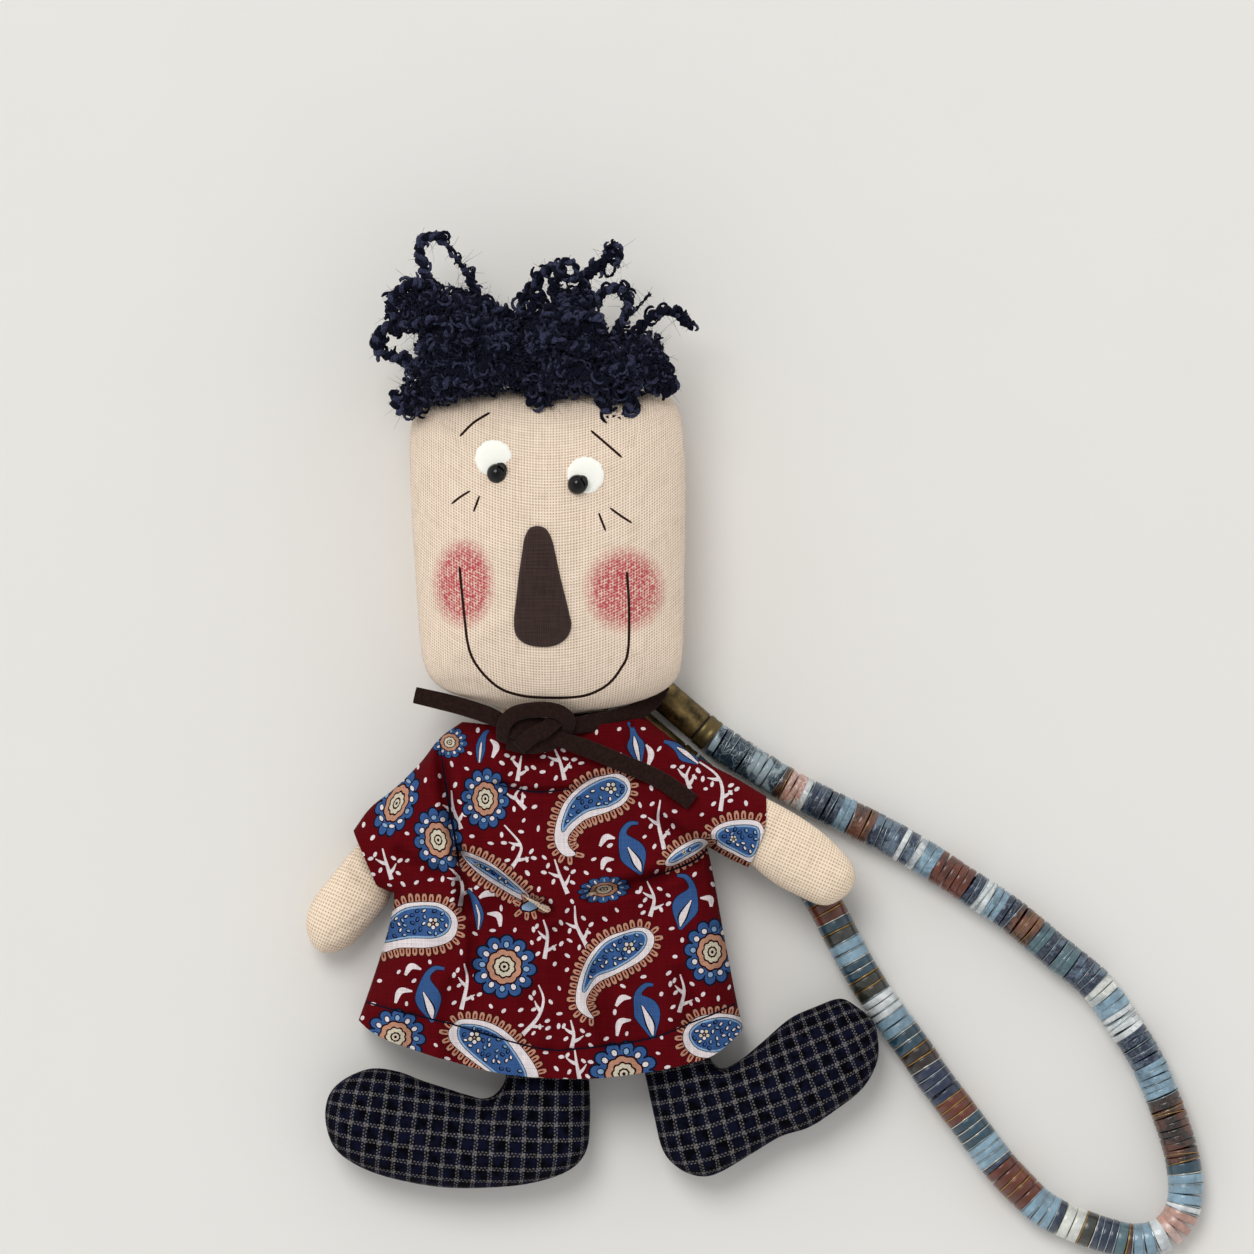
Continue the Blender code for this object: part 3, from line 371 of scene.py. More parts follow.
class Nodes:
    """Short-hand for a material's node tree."""

    def __init__(self, name):
        self.material = bpy.data.materials.new(name)
        self.material.use_nodes = True
        self.tree = self.material.node_tree
        self.shader = self.tree.nodes["Principled BSDF"]

    def make(self, kind, values=None, **settings):
        node = self.tree.nodes.new(kind)
        for key, value in settings.items():
            setattr(node, key, value)
        for key, value in (values or {}).items():
            self.put(node.inputs[key], value)
        return node

    def put(self, socket, value):
        if isinstance(value, bpy.types.NodeSocket):
            self.tree.links.new(value, socket)
        else:
            socket.default_value = value

    def math(self, operation, a, b=0.0, clamp=False):
        node = self.make("ShaderNodeMath", {0: a, 1: b}, operation=operation)
        node.use_clamp = clamp
        return node.outputs[0]

    def plus(self, a, b, clamp=False):
        return self.math("ADD", a, b, clamp)

    def minus(self, a, b, clamp=False):
        return self.math("SUBTRACT", a, b, clamp)

    def times(self, a, b):
        return self.math("MULTIPLY", a, b)

    def mix(self, share, a, b, blend="MIX"):
        node = self.make("ShaderNodeMix", None, data_type="RGBA", blend_type=blend)
        for socket, value in ((node.inputs[0], share), (node.inputs[6], a), (node.inputs[7], b)):
            if isinstance(value, tuple) and len(value) == 3:
                value = (*value, 1.0)
            self.put(socket, value)
        return node.outputs[2]

    def ramp(self, value, *stops):
        node = self.make("ShaderNodeValToRGB", {"Fac": value})
        stops = [(place, c if isinstance(c, tuple) else (c, c, c)) for place, c in stops]
        elements = node.color_ramp.elements
        while len(elements) < len(stops):
            elements.new(0.5)
        for element, (place, c) in zip(elements, stops):
            element.position = place
            element.color = (*c, 1.0)
        return node.outputs["Color"]

    def noise(self, vector, scale, detail=2.0, rough=0.5):
        return self.make("ShaderNodeTexNoise", {
            "Vector": vector, "Scale": scale, "Detail": detail, "Roughness": rough}).outputs["Fac"]

    def stretched(self, vector, x, y, z=1.0):
        return self.make("ShaderNodeMapping", {"Vector": vector, "Scale": (x, y, z)}).outputs[0]

    def uv(self):
        return self.make("ShaderNodeTexCoord").outputs["UV"]

    def place(self):
        return self.make("ShaderNodeTexCoord").outputs["Object"]

    def wave(self, vector, pitch, direction, distortion=0.0, detail=2.0, detail_scale=1.5):
        """Bands of the given pitch in millimetres; UV is stored in centimetres."""
        return self.make("ShaderNodeTexWave", {
            "Vector": vector, "Scale": math.pi / 10 / (pitch / UV_UNIT), "Distortion": distortion,
            "Detail": detail, "Detail Scale": detail_scale}, bands_direction=direction).outputs["Fac"]

    def bump(self, height, depth, strength=1.0):
        node = self.make("ShaderNodeBump", {"Height": height, "Distance": depth * MM, "Strength": strength})
        self.put(self.shader.inputs["Normal"], node.outputs[0])

    def finish(self, colour, rough, **others):
        """Sets the shader's values; rough cloth hardly mirrors anything."""
        if rough > 0.8:
            others["Specular IOR Level"] = 0.05
        for key, value in {"Base Color": colour, "Roughness": rough, **others}.items():
            self.put(self.shader.inputs[key], value)
        return self.material


def cloth(name, colour, pitch=0.38, depth=0.05, contrast=0.2, slub=0.14, rough=0.92, sheen=0.15,
          spread=0.26):
    """Plain weave: threads both ways, thick and thin places, and a soft bump."""
    n = Nodes(name)
    uv = n.uv()
    warp = n.wave(uv, pitch, "X", 0.7, 2.0, 2.5)
    weft = n.wave(uv, pitch, "Y", 0.7, 2.0, 2.5)
    weave = n.times(warp, weft)
    thick = n.noise(n.stretched(uv, 2.2, 34.0), 1.0, 3.0)
    thin = n.noise(n.stretched(uv, 34.0, 2.2), 1.0, 3.0)
    slubs = n.plus(thick, thin)
    share = n.plus(n.times(weave, contrast), n.times(n.minus(slubs, 1.0), slub * 4))
    dark = tuple(c * (1 - spread) for c in colour)
    light = tuple(min(1.0, c * (1 + 0.54 * spread)) for c in colour)
    tone = n.mix(n.plus(share, 0.42, clamp=True), dark, light)
    n.bump(n.plus(weave, n.times(slubs, 0.6)), depth)
    return n.finish(tone, rough, **{"Sheen Weight": sheen})


def plain(name, colour, rough=0.5, metallic=0.0, grain=0.0, scale=900.0, depth=0.02):
    """A simple finish with a little grain in its colour and surface."""
    n = Nodes(name)
    where = n.place()
    grainy = n.noise(where, scale, 4.0)
    tone = n.mix(grainy, tuple(c * (1 - grain) for c in colour),
                 tuple(min(1.0, c * (1 + grain)) for c in colour))
    n.bump(grainy, depth)
    return n.finish(tone, rough, Metallic=metallic)


def grained(name, dark, light, grain, stops, depth, rough, **others):
    """Two colours mixed by a grain (scale, detail, roughness) that also lifts the surface."""
    n = Nodes(name)
    speck = n.noise(n.place(), *grain)
    n.bump(speck, depth)
    return n.finish(n.mix(n.ramp(speck, (stops[0], 0.0), (stops[1], 1.0)), dark, light), rough, **others)


def linen_threads(n, uv, pitch, colour, depth):
    """Open plain weave: small dark holes between pale threads that are thick and thin in places."""
    warp = n.wave(uv, pitch[0], "X", 0.6, 2.0, 2.5)
    weft = n.wave(uv, pitch[1], "Y", 0.6, 2.0, 2.5)
    holes = n.times(n.minus(1.0, warp), n.minus(1.0, weft))
    slubs = n.plus(n.noise(n.stretched(uv, 2.0, 28.0), 1.0, 3.0),
                   n.noise(n.stretched(uv, 28.0, 2.0), 1.0, 3.0))
    share = n.plus(n.times(holes, 1.0), n.times(n.minus(slubs, 1.0), 0.7))
    n.bump(n.minus(n.times(slubs, 0.6), holes), depth)
    return n.mix(n.plus(share, 0.02, clamp=True), colour, tuple(c * g for c,
            g in zip(colour, (0.5, 0.44, 0.38)))), holes


# Cloth in two layers


def border(*runs):
    """An outline from smoothed runs of picture points, and whether each of its edges is sewn."""
    points, sewn = [], []
    for is_sewn, run in runs:
        line = resample(smooth(plan(run)), EDGE_STEP)
        points.append(line[:-1])
        sewn.extend([is_sewn] * (len(line) - 1))
    return np.vstack(points), np.array(sewn)


def around(points, step=EDGE_STEP):
    """A closed, smoothed, fully sewn outline through picture points."""
    line = resample(smooth(plan(points), closed=True), step, closed=True)
    return line, np.ones(len(line), bool)


def crease(points, line, depth, width, ridge=0.45):
    """A groove along a line of picture points, with a soft ridge on both sides."""
    run = smooth(plan(line))
    off, _ = nearest(points, run[:-1], run[1:])
    return (-depth * np.exp(-(off / width) ** 2)
            + ridge * depth * np.exp(-((off - 2.1 * width) / (1.2 * width)) ** 2))


def level(value):
    """A height everywhere, from a number or a function of plan points."""
    return value if callable(value) else (lambda points: np.full(len(points), float(value)))


def layers(name, outline_and_sewn, materials, seam, top, bottom, reach, grid, power=2.2, prints=(),
           relief=None, facing=3.0, thick=0.5, rings=EDGE_RINGS):
    """Cloth over a plan: a front and a back that meet at sewn edges and stay apart at open ones."""
    outline, sewn = outline_and_sewn
    starts, ends = outline, np.roll(outline, -1, axis=0)
    seam, top, bottom = level(seam), level(top), level(bottom)
    points, faces = triangulate(outline, grid, [p for p, _ in prints], rings)
    used, fresh = np.unique(faces, return_inverse=True)
    points, faces = points[used], fresh.reshape(faces.shape)

    def heights(where):
        off, _ = nearest(where, starts[sewn], ends[sewn])
        share = rolled(off / reach, power)
        s, t, b = seam(where), top(where), bottom(where)
        front, back = s + (t - s) * share, s - (s - b) * share
        if relief is not None:
            front = front + relief(where, off) * np.clip(off / 1.5, 0.0, 1.0)
        return off, front, np.minimum(back, front)

    off, front, back = heights(points)
    apart = off > 1e-3
    back_index = np.arange(len(points))
    back_index[apart] = len(points) + np.arange(apart.sum())
    shape = Builder()
    centres = points[faces].mean(axis=1)
    picks = np.zeros(len(faces), int)
    for polygon, pick in prints:
        low, high = polygon.min(axis=0), polygon.max(axis=0)
        near = np.flatnonzero(((centres >= low) & (centres <= high)).all(axis=1))
        picks[near[inside(centres[near], polygon)]] = pick
    depth = np.mean(top(points) - seam(points))
    marks = np.linspace(0.0, reach, 200)
    rise = np.diff(rolled(marks / reach, power)) * depth
    spare = np.hypot(rise, np.diff(marks)) - np.diff(marks)
    spare = np.concatenate((np.cumsum(spare[::-1])[::-1], [0.0]))
    _, inwards = nearest(points, starts, ends)
    cut = points - inwards * np.interp(off, marks, spare)[:, None] if sewn.all() else points
    uv = np.vstack((cut, cut[apart] * (-1, 1) + (90.0, 0.0)))
    shape.add(np.vstack((np.column_stack((points, front)), np.column_stack((points, back))[apart])), faces,
              0, uv)
    shape.picks = list(picks)
    shape.faces.extend(back_index[faces][:, ::-1].tolist())
    shape.picks.extend(picks.tolist())
    if not sewn.all():
        edges = np.vstack((faces[:, [0, 1]], faces[:, [1, 2]], faces[:, [2, 0]]))
        key = np.sort(edges, axis=1) @ (len(points), 1)
        _, first, seen = np.unique(key, return_index=True, return_counts=True)
        rim = edges[first[seen == 1]]
        rim = rim[apart[rim].any(axis=1)]
        inward = np.zeros((len(points), 2))
        for a, b in rim:
            run = points[b] - points[a]
            for v in (a, b):
                inward[v] += (-run[1], run[0])
        ids = np.unique(rim)
        inward = inward[ids] / np.maximum(np.linalg.norm(inward[ids], axis=1), 1e-9)[:, None]
        deep = np.minimum(facing, off[ids] * 0.9)
        within = points[ids] + inward * deep[:, None]
        _, high, low = heights(within)
        slim = np.minimum(thick, (front[ids] - back[ids]) * 0.4)
        slim_within = np.minimum(thick, (high - low) * 0.4)
        place = {v: k for k, v in enumerate(ids)}
        for is_front, at, at_within, sign in ((True, front, high, -1), (False, back, low, 1)):
            one = np.column_stack((points[ids] + inward * 0.08, at[ids] + sign * slim))
            two = np.column_stack((within, at_within + sign * slim_within))
            start = shape.count
            shape.add(np.vstack((one, two)), [])
            for a, b in rim:
                i, j = place[a] + start, place[b] + start
                m = len(ids)
                if is_front:
                    quads = ((b, a, i, j), (j, i, i + m, j + m))
                else:
                    quads = ((back_index[a], back_index[b], j, i), (i, j, j + m, i + m))
                for quad in quads:
                    shape.faces.append([int(q) for q in quad])
                    shape.picks.append(0)
    return shape.store(name, materials)


def stroke(line, width, step=0.3):
    """A closed plan outline of a pen line through picture points; the width is in picture units."""
    run = resample(smooth(plan(line)), step)
    share = np.linspace(0, 1, len(run))
    half = width / PICTURE_SCALE / 2 * np.clip(np.minimum(share, 1 - share) * len(run) * 0.5 + 0.35, 0.35,
                                               1.0)
    side = left_of(headings(run)) * half[:, None]
    return np.vstack((run + side, (run - side)[::-1]))


def oval(x, y, rx, ry, tilt=0.0, scallops=0, wave=0.0, count=None):
    """A closed plan outline of an ellipse, perhaps scalloped; all in picture units."""
    count = count or max(8, int(2.2 * (rx + ry)))
    angles = np.arange(count) * 2 * math.pi / count
    grow = 1.0 + wave * np.abs(np.sin(angles * scallops / 2)) - wave / 2 if scallops else np.ones(count)
    u, v = rx * grow * np.cos(angles), ry * grow * np.sin(angles)
    c, s = math.cos(math.radians(tilt)), math.sin(math.radians(tilt))
    return plan(np.column_stack((x + u * c - v * s, y + u * s + v * c)))


def shrink(polygon, by):
    """The outline moved inwards, without the places where it would cross itself."""
    moved = polygon + inward_of(polygon) * by
    off, _ = nearest(moved, polygon, np.roll(polygon, -1, axis=0))
    return moved[off > abs(by) * 0.93]


# Print of the dress

RED, BLUE, LIGHT, NAVY, WHITE, PEACH, CREAM, BROWN = range(8)
PRINT_NAMES = ("red", "blue", "light_blue", "navy", "white", "peach", "cream", "brown")
PRINT_COLOURS = ((91, 6, 14), (56, 90, 142), (138, 168, 200), (16, 18, 34), (228, 218, 220),
                 (188, 138, 114), (208, 200, 178), (42, 9, 13))
ROSETTE_RINGS = (
    (0.57, BROWN, 0.1), (0.515, PEACH, 0.1), (0.355, BROWN, 0.16), (0.3, CREAM, 0.16), (0.17, BROWN, 0.2),
    (0.12, CREAM, 0.0), (0.055, BROWN, 0.0))
SPECK_TRIES = 420
SPECK_GAP = 0.86
SPOT_TRIES = 2400
SPOT_GAP = 13.5
print_dice = random.Random(23)


def rosette(x, y, rx, ry, tilt=0.0):
    """A flower of round petals, each with a pale dot, round a ringed centre."""
    c, s = math.cos(math.radians(tilt)), math.sin(math.radians(tilt))
    petals = []
    for k in range(12):
        angle = k * math.pi / 6 + 0.1
        u, v = rx * 0.8 * math.cos(angle), ry * 0.8 * math.sin(angle)
        petals.append((x + u * c - v * s, y + u * s + v * c, math.degrees(math.atan2(v / ry,
                u / rx)) + tilt))
    found = []
    for wide, high, count, disc_share, colour in ((0.25, 0.23, 14, 0.82, NAVY),
                                                  (0.19, 0.175, 12, 0.74, BLUE)):
        for px, py, _ in petals:
            found.append((oval(px, py, rx * wide, ry * high, tilt, count=count), colour))
        found.append((oval(x, y, rx * disc_share, ry * disc_share, tilt), colour))
    for k, (px, py, turn) in enumerate(petals):
        near = (x + (px - x) * 0.86, y + (py - y) * 0.86)
        found.append((oval(*near, rx * 0.13, ry * 0.115, turn, count=9), NAVY))
        found.append((oval(*near, rx * 0.095, ry * 0.08, turn, count=8), WHITE if k % 3 else LIGHT))
    for share, colour, wave in ROSETTE_RINGS:
        found.append((oval(x, y, rx * share, ry * share, tilt, 9 if wave else 0, wave), colour))
    return found


def teeth(outline, deep=1.55, size=0.55):
    """A row of rounded teeth outside a closed outline."""
    around_line = resample(outline, size * 2, closed=True)
    out = -inward_of(around_line)
    found = []
    for base, way in zip(around_line, out):
        side = np.array((-way[1], way[0]))
        long = deep * print_dice.uniform(0.88, 1.08)
        for half, reach, foot, colour in (
                (size * 0.96, long + 0.1, -0.1, BROWN), (size * 0.74, long - 0.06, 0.0, PEACH),
                (size * 0.25, long * 0.66, 0.25, RED)):
            corners = ((-1, foot), (-1, reach * 0.72), (-0.55, reach * 0.97), (0.55, reach * 0.97),
                       (1, reach * 0.72), (1, foot))
            found.append((np.array([base + side * half * u + way * v for u, v in corners]), colour))
    return found


def paisley(border_points, field_points, flower, size):
    """A drop with a pale border and tail, a scrolled blue field, a small flower and a row of teeth."""
    outer = resample(smooth(plan(border_points), closed=True), 0.34, closed=True)
    inner = resample(smooth(plan(field_points), closed=True), 0.34, closed=True)
    found = teeth(outer)
    found += [(shrink(outer, -0.12), BROWN), (outer, WHITE), (shrink(inner, -0.12), NAVY), (inner, LIGHT),
              (shrink(inner, 0.3), BLUE)]
    core = shrink(inner, 0.55)
    low, high = core.min(axis=0), core.max(axis=0)
    centre = plan([flower])[0]
    spots = []
    for _ in range(SPECK_TRIES):
        at = np.array([print_dice.uniform(low[k], high[k]) for k in range(2)])
        if np.linalg.norm(at - centre) < size / PICTURE_SCALE * 1.25 or not inside(at[None], core)[0]:
            continue
        if any(np.linalg.norm(at - spot) < SPECK_GAP for spot in spots):
            continue
        spots.append(at)
        x, y = PICTURE_ORIGIN[0] + at[0] * PICTURE_SCALE, PICTURE_ORIGIN[1] - at[1] * PICTURE_SCALE
        turn = print_dice.uniform(0, 180)
        found.append((oval(x, y, 3.0, 2.1, turn, count=9), NAVY))
        found.append((oval(x + 0.3, y - 0.3, 1.9, 1.05, turn, count=8),
                      print_dice.choice((LIGHT, WHITE, BLUE))))
    x, y = flower
    for k in range(5):
        angle = k * 2 * math.pi / 5 + 0.3
        at = (x + size * 0.62 * math.cos(angle), y + size * 0.62 * math.sin(angle))
        found.append((oval(*at, size * 0.43, size * 0.43, count=11), NAVY))
        found.append((oval(*at, size * 0.29, size * 0.29, count=9), WHITE if k % 2 else CREAM))
    found.append((oval(x, y, size * 0.26, size * 0.26, count=8), NAVY))
    found.append((oval(x, y, size * 0.15, size * 0.15, count=7), PEACH))
    return found


def tapered(line, widths, step=0.28):
    """A closed plan outline along picture points, as wide at each point as told."""
    line = np.column_stack((plan(line), np.array(widths, float) / PICTURE_SCALE / 2))
    run = resample(smooth(line), step)
    side = left_of(headings(run[:, :2])) * np.maximum(run[:, 2], 0.03)[:, None]
    return np.vstack((run[:, :2] + side, (run[:, :2] - side)[::-1]))


def leaf(spine, width, flame):
    """A hooked leaf with a dark outline and a pale flame inside; the hook is thin, the body wide."""
    spread = np.array((2.6, 4.6, 8.0, width, 3.0))
    return [(tapered(spine, spread + 1.6), NAVY), (tapered(spine, spread), BLUE),
            (tapered(flame, (2.5, width * 0.38, 2.5)), NAVY),
            (tapered(flame, (1.2, width * 0.25, 1.2)), WHITE)]


def sprig(line):
    """A pale branch that thickens to its foot, with side thorns and small oval buds round it."""
    run = smooth(line)
    found = [(tapered(line, np.linspace(1.4, 4.4, len(line))), WHITE)]
    length = np.linalg.norm(np.diff(run, axis=0), axis=1).sum()
    even_run = resample(run, max(2.0, length / 20))
    heading = headings(even_run)
    for share, way in ((0.45, 1), (0.75, -1)):
        k = int(share * (len(even_run) - 1))
        root, h = even_run[k], heading[k]
        side = np.array((-h[1], h[0])) * way
        tip = root + side * 9.5 - h * 6.0
        found.append((tapered((root + h * 1.5, root + side * 4.5 - h, tip), (4.2, 3.0, 0.8)), WHITE))
        bud = tip + side * 4.5 - h * 1.5
        found.append((oval(*bud, 3.1, 1.9, print_dice.uniform(0, 180), count=9), WHITE))
    for k in range(2, len(even_run) - 1, 4):
        way = 1 if (k // 4) % 2 else -1
        h = heading[k]
        side = np.array((-h[1], h[0])) * way
        bud = even_run[k] - side * (7.6 + print_dice.uniform(-0.6, 1.4))
        found.append((oval(*bud, 3.0, 1.75, math.degrees(math.atan2(h[1], h[0])) - 40 * way, count=9),
                      WHITE))
    return found


motifs = []
for line in (((552, 742), (560, 760), (565, 779)), ((522, 755), (520, 766), (518, 780)),
             ((505, 824), (521, 843), (519, 856), (511, 868)), ((555, 858), (561, 876), (568, 892)),
             ((575, 904), (577, 924), (588, 946)), ((544, 918), (548, 934), (545, 957)),
             ((539, 983), (544, 998), (538, 1016), (523, 1033)), ((465, 962), (468, 980), (462, 1008)),
             ((680, 973), (684, 990), (679, 1011)), ((571, 1018), (574, 1032), (572, 1046)),
             ((575, 1048), (577, 1062), (580, 1078)), ((647, 880), (654, 897), (650, 915)),
             ((660, 799), (658, 820), (664, 848)), ((690, 766), (686, 776), (690, 788)),
             ((697, 760), (716, 774), (722, 789), (720, 810)), ((383, 848), (387, 863), (392, 879)),
             ((452, 790), (454, 808), (462, 828)), ((443, 858), (462, 881), (461, 905)),
             ((522, 786), (516, 796), (526, 808))):
    motifs.extend(sprig(line))
for row in (((638, 822), (629, 823), (623, 834), (633, 853), (641, 873)),
            ((653, 983), (645, 984), (638, 994), (647, 1011), (653, 1037)),
            ((445, 967), (435, 967), (427, 977), (429, 998), (433, 1021)),
            ((677, 874), (686, 876), (692, 888), (685, 906), (680, 928))):
    tip, middle = np.array(row[4], float), np.array(row[3], float)
    aside = 5 if row[1][0] < row[0][0] else -6
    motifs.extend(leaf(row, 26.0, (middle - (aside, 7), (middle + tip) / 2 + (0, -2), tip - (0, 3))))
for width, row in (
        (9.0, ((468, 889), (473, 894), (477, 903), (480, 914), (479, 928))),
        (9.0, ((489, 730), (485, 734), (482, 742), (481, 750), (480, 762))),
        (17.0, ((628, 722), (632, 728), (634, 736), (636, 746), (640, 764))),
        (17.0, ((664, 741), (670, 743), (677, 747), (686, 753), (698, 763)))):
    motifs.extend(leaf(row, width, row[2:]))
for line in (((615, 837), (606, 836), (600, 845)), ((614, 858), (605, 859), (602, 868)),
             ((498, 894), (488, 892), (480, 896)), ((488, 912), (499, 914), (501, 925)),
             ((422, 968), (412, 965), (406, 974)), ((413, 990), (401, 990), (396, 1002)),
             ((631, 996), (622, 996), (616, 1004)), ((631, 1018), (620, 1020), (617, 1034)),
             ((700, 897), (710, 898), (711, 906)), ((491, 739), (497, 746), (493, 757)),
             ((646, 744), (651, 753), (648, 765))):
    motifs.append((tapered(line, (1.6, 6.4, 2.6)), WHITE))
for row in ((486, 798, 24, 31), (439, 839, 24, 33, -15), (397, 803, 19, 36, 25), (505, 965, 32, 32),
            (712, 951, 28, 33), (396, 1036, 30, 28), (624, 1072, 34, 33), (604, 888, 26, 13, -8),
            (450, 742, 18, 16)):
    motifs.extend(rosette(*row))
PAISLEYS = (
    ([(604, 775), (590, 779), (575, 790), (564, 803), (557, 821), (555, 838), (559, 849), (567, 855),
      (576, 853), (570, 846), (568, 838), (573, 829), (586, 818), (607, 811), (623, 803), (630, 792),
      (629, 780), (619, 773)],
     [(607, 777), (620, 779), (627, 787), (622, 797), (609, 805), (588, 810), (571, 822), (563, 831),
      (563, 820), (571, 801), (586, 787)],
     (611, 787), 6.5),
    ([(627, 929), (607, 936), (590, 953), (580, 975), (576, 998), (581, 1010), (594, 1017), (588, 1007),
      (587, 996), (597, 982), (616, 972), (639, 960), (651, 948), (654, 936), (648, 928), (638, 926)],
     [(638, 930), (646, 934), (645, 944), (635, 955), (615, 967), (596, 975), (585, 990), (583, 984),
      (590, 962), (604, 943), (621, 934)],
     (629, 946), 6.5),
    ([(384, 919), (398, 907), (412, 902), (440, 902), (456, 913), (458, 928), (450, 940), (430, 946),
      (400, 947), (380, 953), (370, 944)],
     [(386, 924), (400, 911), (415, 906), (438, 906), (451, 916), (449, 929), (436, 936), (409, 937),
      (380, 943), (374, 936)],
     (434, 922), 6.5),
    ([(452, 1026), (463, 1018), (492, 1022), (518, 1041), (539, 1074), (520, 1090), (488, 1070),
      (456, 1046), (449, 1034)],
     [(459, 1026), (469, 1023), (489, 1027), (509, 1042), (527, 1074), (512, 1082), (482, 1061),
      (461, 1041)],
     (475, 1036), 7.0),
    ([(684, 1030), (698, 1016), (724, 1013), (746, 1022), (741, 1042), (720, 1055), (697, 1055),
      (685, 1045)],
     [(690, 1030), (702, 1020), (724, 1017), (741, 1024), (737, 1039), (719, 1050), (700, 1048),
      (691, 1040)],
     (704, 1033), 6.0),
    ([(712, 829), (730, 820), (758, 821), (764, 840), (756, 862), (733, 853), (714, 842)],
     [(717, 831), (731, 825), (756, 826), (758, 842), (750, 856), (733, 849), (718, 840)], (733, 838),
     4.0),
    ([(461, 853), (468, 851), (492, 862), (516, 881), (530, 895), (524, 899), (500, 886), (478, 871)],
     [(466, 856), (492, 866), (514, 883), (524, 894), (500, 881), (480, 868)], (478, 864), 2.4),
    ([(665, 861), (677, 847), (697, 838), (708, 843), (692, 855), (671, 865)],
     [(669, 859), (680, 850), (697, 842), (702, 845), (690, 852), (673, 861)], (684, 851), 2.6))
for row in PAISLEYS:
    motifs.extend(paisley(*row))
fan = resample(plan([(521, 903), (530, 898), (539, 902), (539, 908), (530, 911), (521, 909)]), 0.3,
               closed=True)
motifs.extend(teeth(fan, 1.5, 0.5) + [(fan, BROWN), (shrink(fan, 0.25), LIGHT)])
# Dark navy lines on the print. The first follows the hem and is its stitching, darkened with painted shade
# of the hem fold. The other three follow creases of the dress and are painted shade in the folds.
hem_stitch_and_crease_shade = [tapered(line, widths) for line, widths in (
    (((361, 1001), (410, 1013), (452, 1023), (536, 1046), (578, 1047), (649, 1037), (700, 1018),
      (738, 1003)), (1.7,) * 8),
    (((440, 745), (447, 790), (456, 840), (462, 880)), (0.8, 2.6, 2.4, 0.8)),
    (((497, 784), (536, 791), (575, 788)), (0.8, 1.9, 0.8)),
    (((640, 880), (690, 862), (710, 847)), (0.7, 2.2, 1.8)))]
taken = [(p.mean(axis=0), np.linalg.norm(p - p.mean(axis=0), axis=1).max(), p) for p, _ in motifs if len(p)]


def is_free(at):
    """Whether a plan point is clear of every motif so far."""
    for centre, reach, outline in taken:
        if np.linalg.norm(at - centre) < reach + 0.7:
            if np.linalg.norm(outline - at, axis=1).min() < 0.75 or inside(at[None], outline)[0]:
                return False
    return True


spots = []
for _ in range(SPOT_TRIES):
    spot = np.array((print_dice.uniform(350, 772), print_dice.uniform(718, 1078)))
    if all(np.linalg.norm(spot - other) >= SPOT_GAP for other in spots) and is_free(plan([spot])[0]):
        spots.append(spot)
for spot in spots:
    long, wide = print_dice.uniform(2.4, 3.4), print_dice.uniform(1.5, 2.0)
    motifs.append((oval(*spot, long, wide, print_dice.uniform(0, 180), count=9), WHITE))
# The hem stitching with painted shade and the painted crease shade go over everything else.
motifs.extend((line, NAVY) for line in hem_stitch_and_crease_shade)

# The dress

DRESS_EDGE = border(
    (True, [(462, 722), (440, 738), (420, 763), (395, 788), (370, 808), (353, 831)]),
    (False, [(353, 831), (365, 858), (377, 886)]),
    (True, [(377, 886), (386, 890), (394, 893)]),
    (True, [(394, 893), (393, 908), (385, 940), (371, 984), (358, 1021)]),
    (False, [(358, 1021), (382, 1037), (440, 1057), (508, 1073), (578, 1077), (621, 1074), (668, 1067),
             (713, 1054), (744, 1029)]),
    (True, [(744, 1029), (738, 1007), (724, 935), (714, 879), (707, 846)]),
    (True, [(707, 846), (726, 857), (748, 867)]),
    (False, [(748, 867), (758, 846), (765, 822), (766, 796)]),
    (True, [(766, 796), (736, 778), (697, 757), (661, 730), (645, 717)]),
    (False, [(645, 717), (600, 724), (540, 727), (500, 726), (462, 722)]))
dress_top = field([
    (560, 790, 17.1), (600, 760, 16.6), (560, 730, 15.2), (470, 760, 15), (410, 820, 12.8), (372, 860, 11),
    (650, 760, 16.4), (710, 800, 16.6), (757, 830, 16.2), (560, 900, 17), (450, 900, 15.4), (680, 900, 16),
    (560, 1070, 14.6), (420, 1030, 11.5), (720, 1030, 12.8), (500, 1000, 15.4), (640, 1000, 15.8),
    (640, 730, 15.6), (480, 725, 14.2), (400, 960, 14)])
dress_seam = field([
    (460, 725, 7), (400, 785, 5), (356, 845, 5.6), (376, 880, 7.6), (393, 893, 7.0), (385, 950, 4.6),
    (360, 1020, 4), (742, 1030, 4.2), (730, 960, 5), (708, 850, 7.2), (747, 866, 10.6), (768, 800, 10.8),
    (700, 757, 10.4), (650, 720, 8.6), (560, 900, 6), (560, 1060, 5)])
DRESS_CREASES = (
    ([(440, 745), (447, 790), (456, 840), (462, 880), (466, 905)], 2.1, 1.05),
    ([(497, 783), (536, 790), (575, 787), (600, 776)], 0.9, 0.55),
    ([(460, 853), (490, 872), (528, 897), (548, 908)], 2.0, 0.95),
    ([(590, 893), (640, 880), (690, 862), (712, 846)], 1.9, 1.0),
    ([(655, 728), (690, 752), (730, 778)], 0.9, 0.8), ([(707, 844), (688, 836), (660, 818)], 1.1, 0.9),
    ([(468, 900), (474, 930), (472, 970)], 1.1, 0.9), ([(612, 1070), (604, 1020), (598, 970)], 1.0, 1.5),
    ([(522, 1072), (528, 1030), (532, 990)], 0.8, 1.3), ([(694, 1062), (690, 1020), (678, 975)], 1.0, 1.4),
    ([(452, 1056), (446, 1020), (452, 985)], 0.8, 1.3), ([(400, 850), (420, 864), (444, 872)], 0.8, 0.8),
    ([(505, 735), (512, 760), (508, 780)], 0.5, 0.8), ([(632, 726), (628, 750), (640, 775)], 0.6, 0.8),
    ([(548, 908), (560, 940), (566, 985)], 0.6, 1.2))
SLEEVE_EDGE = plan([(640, 700), (660, 735), (684, 800), (700, 846), (703, 870)])


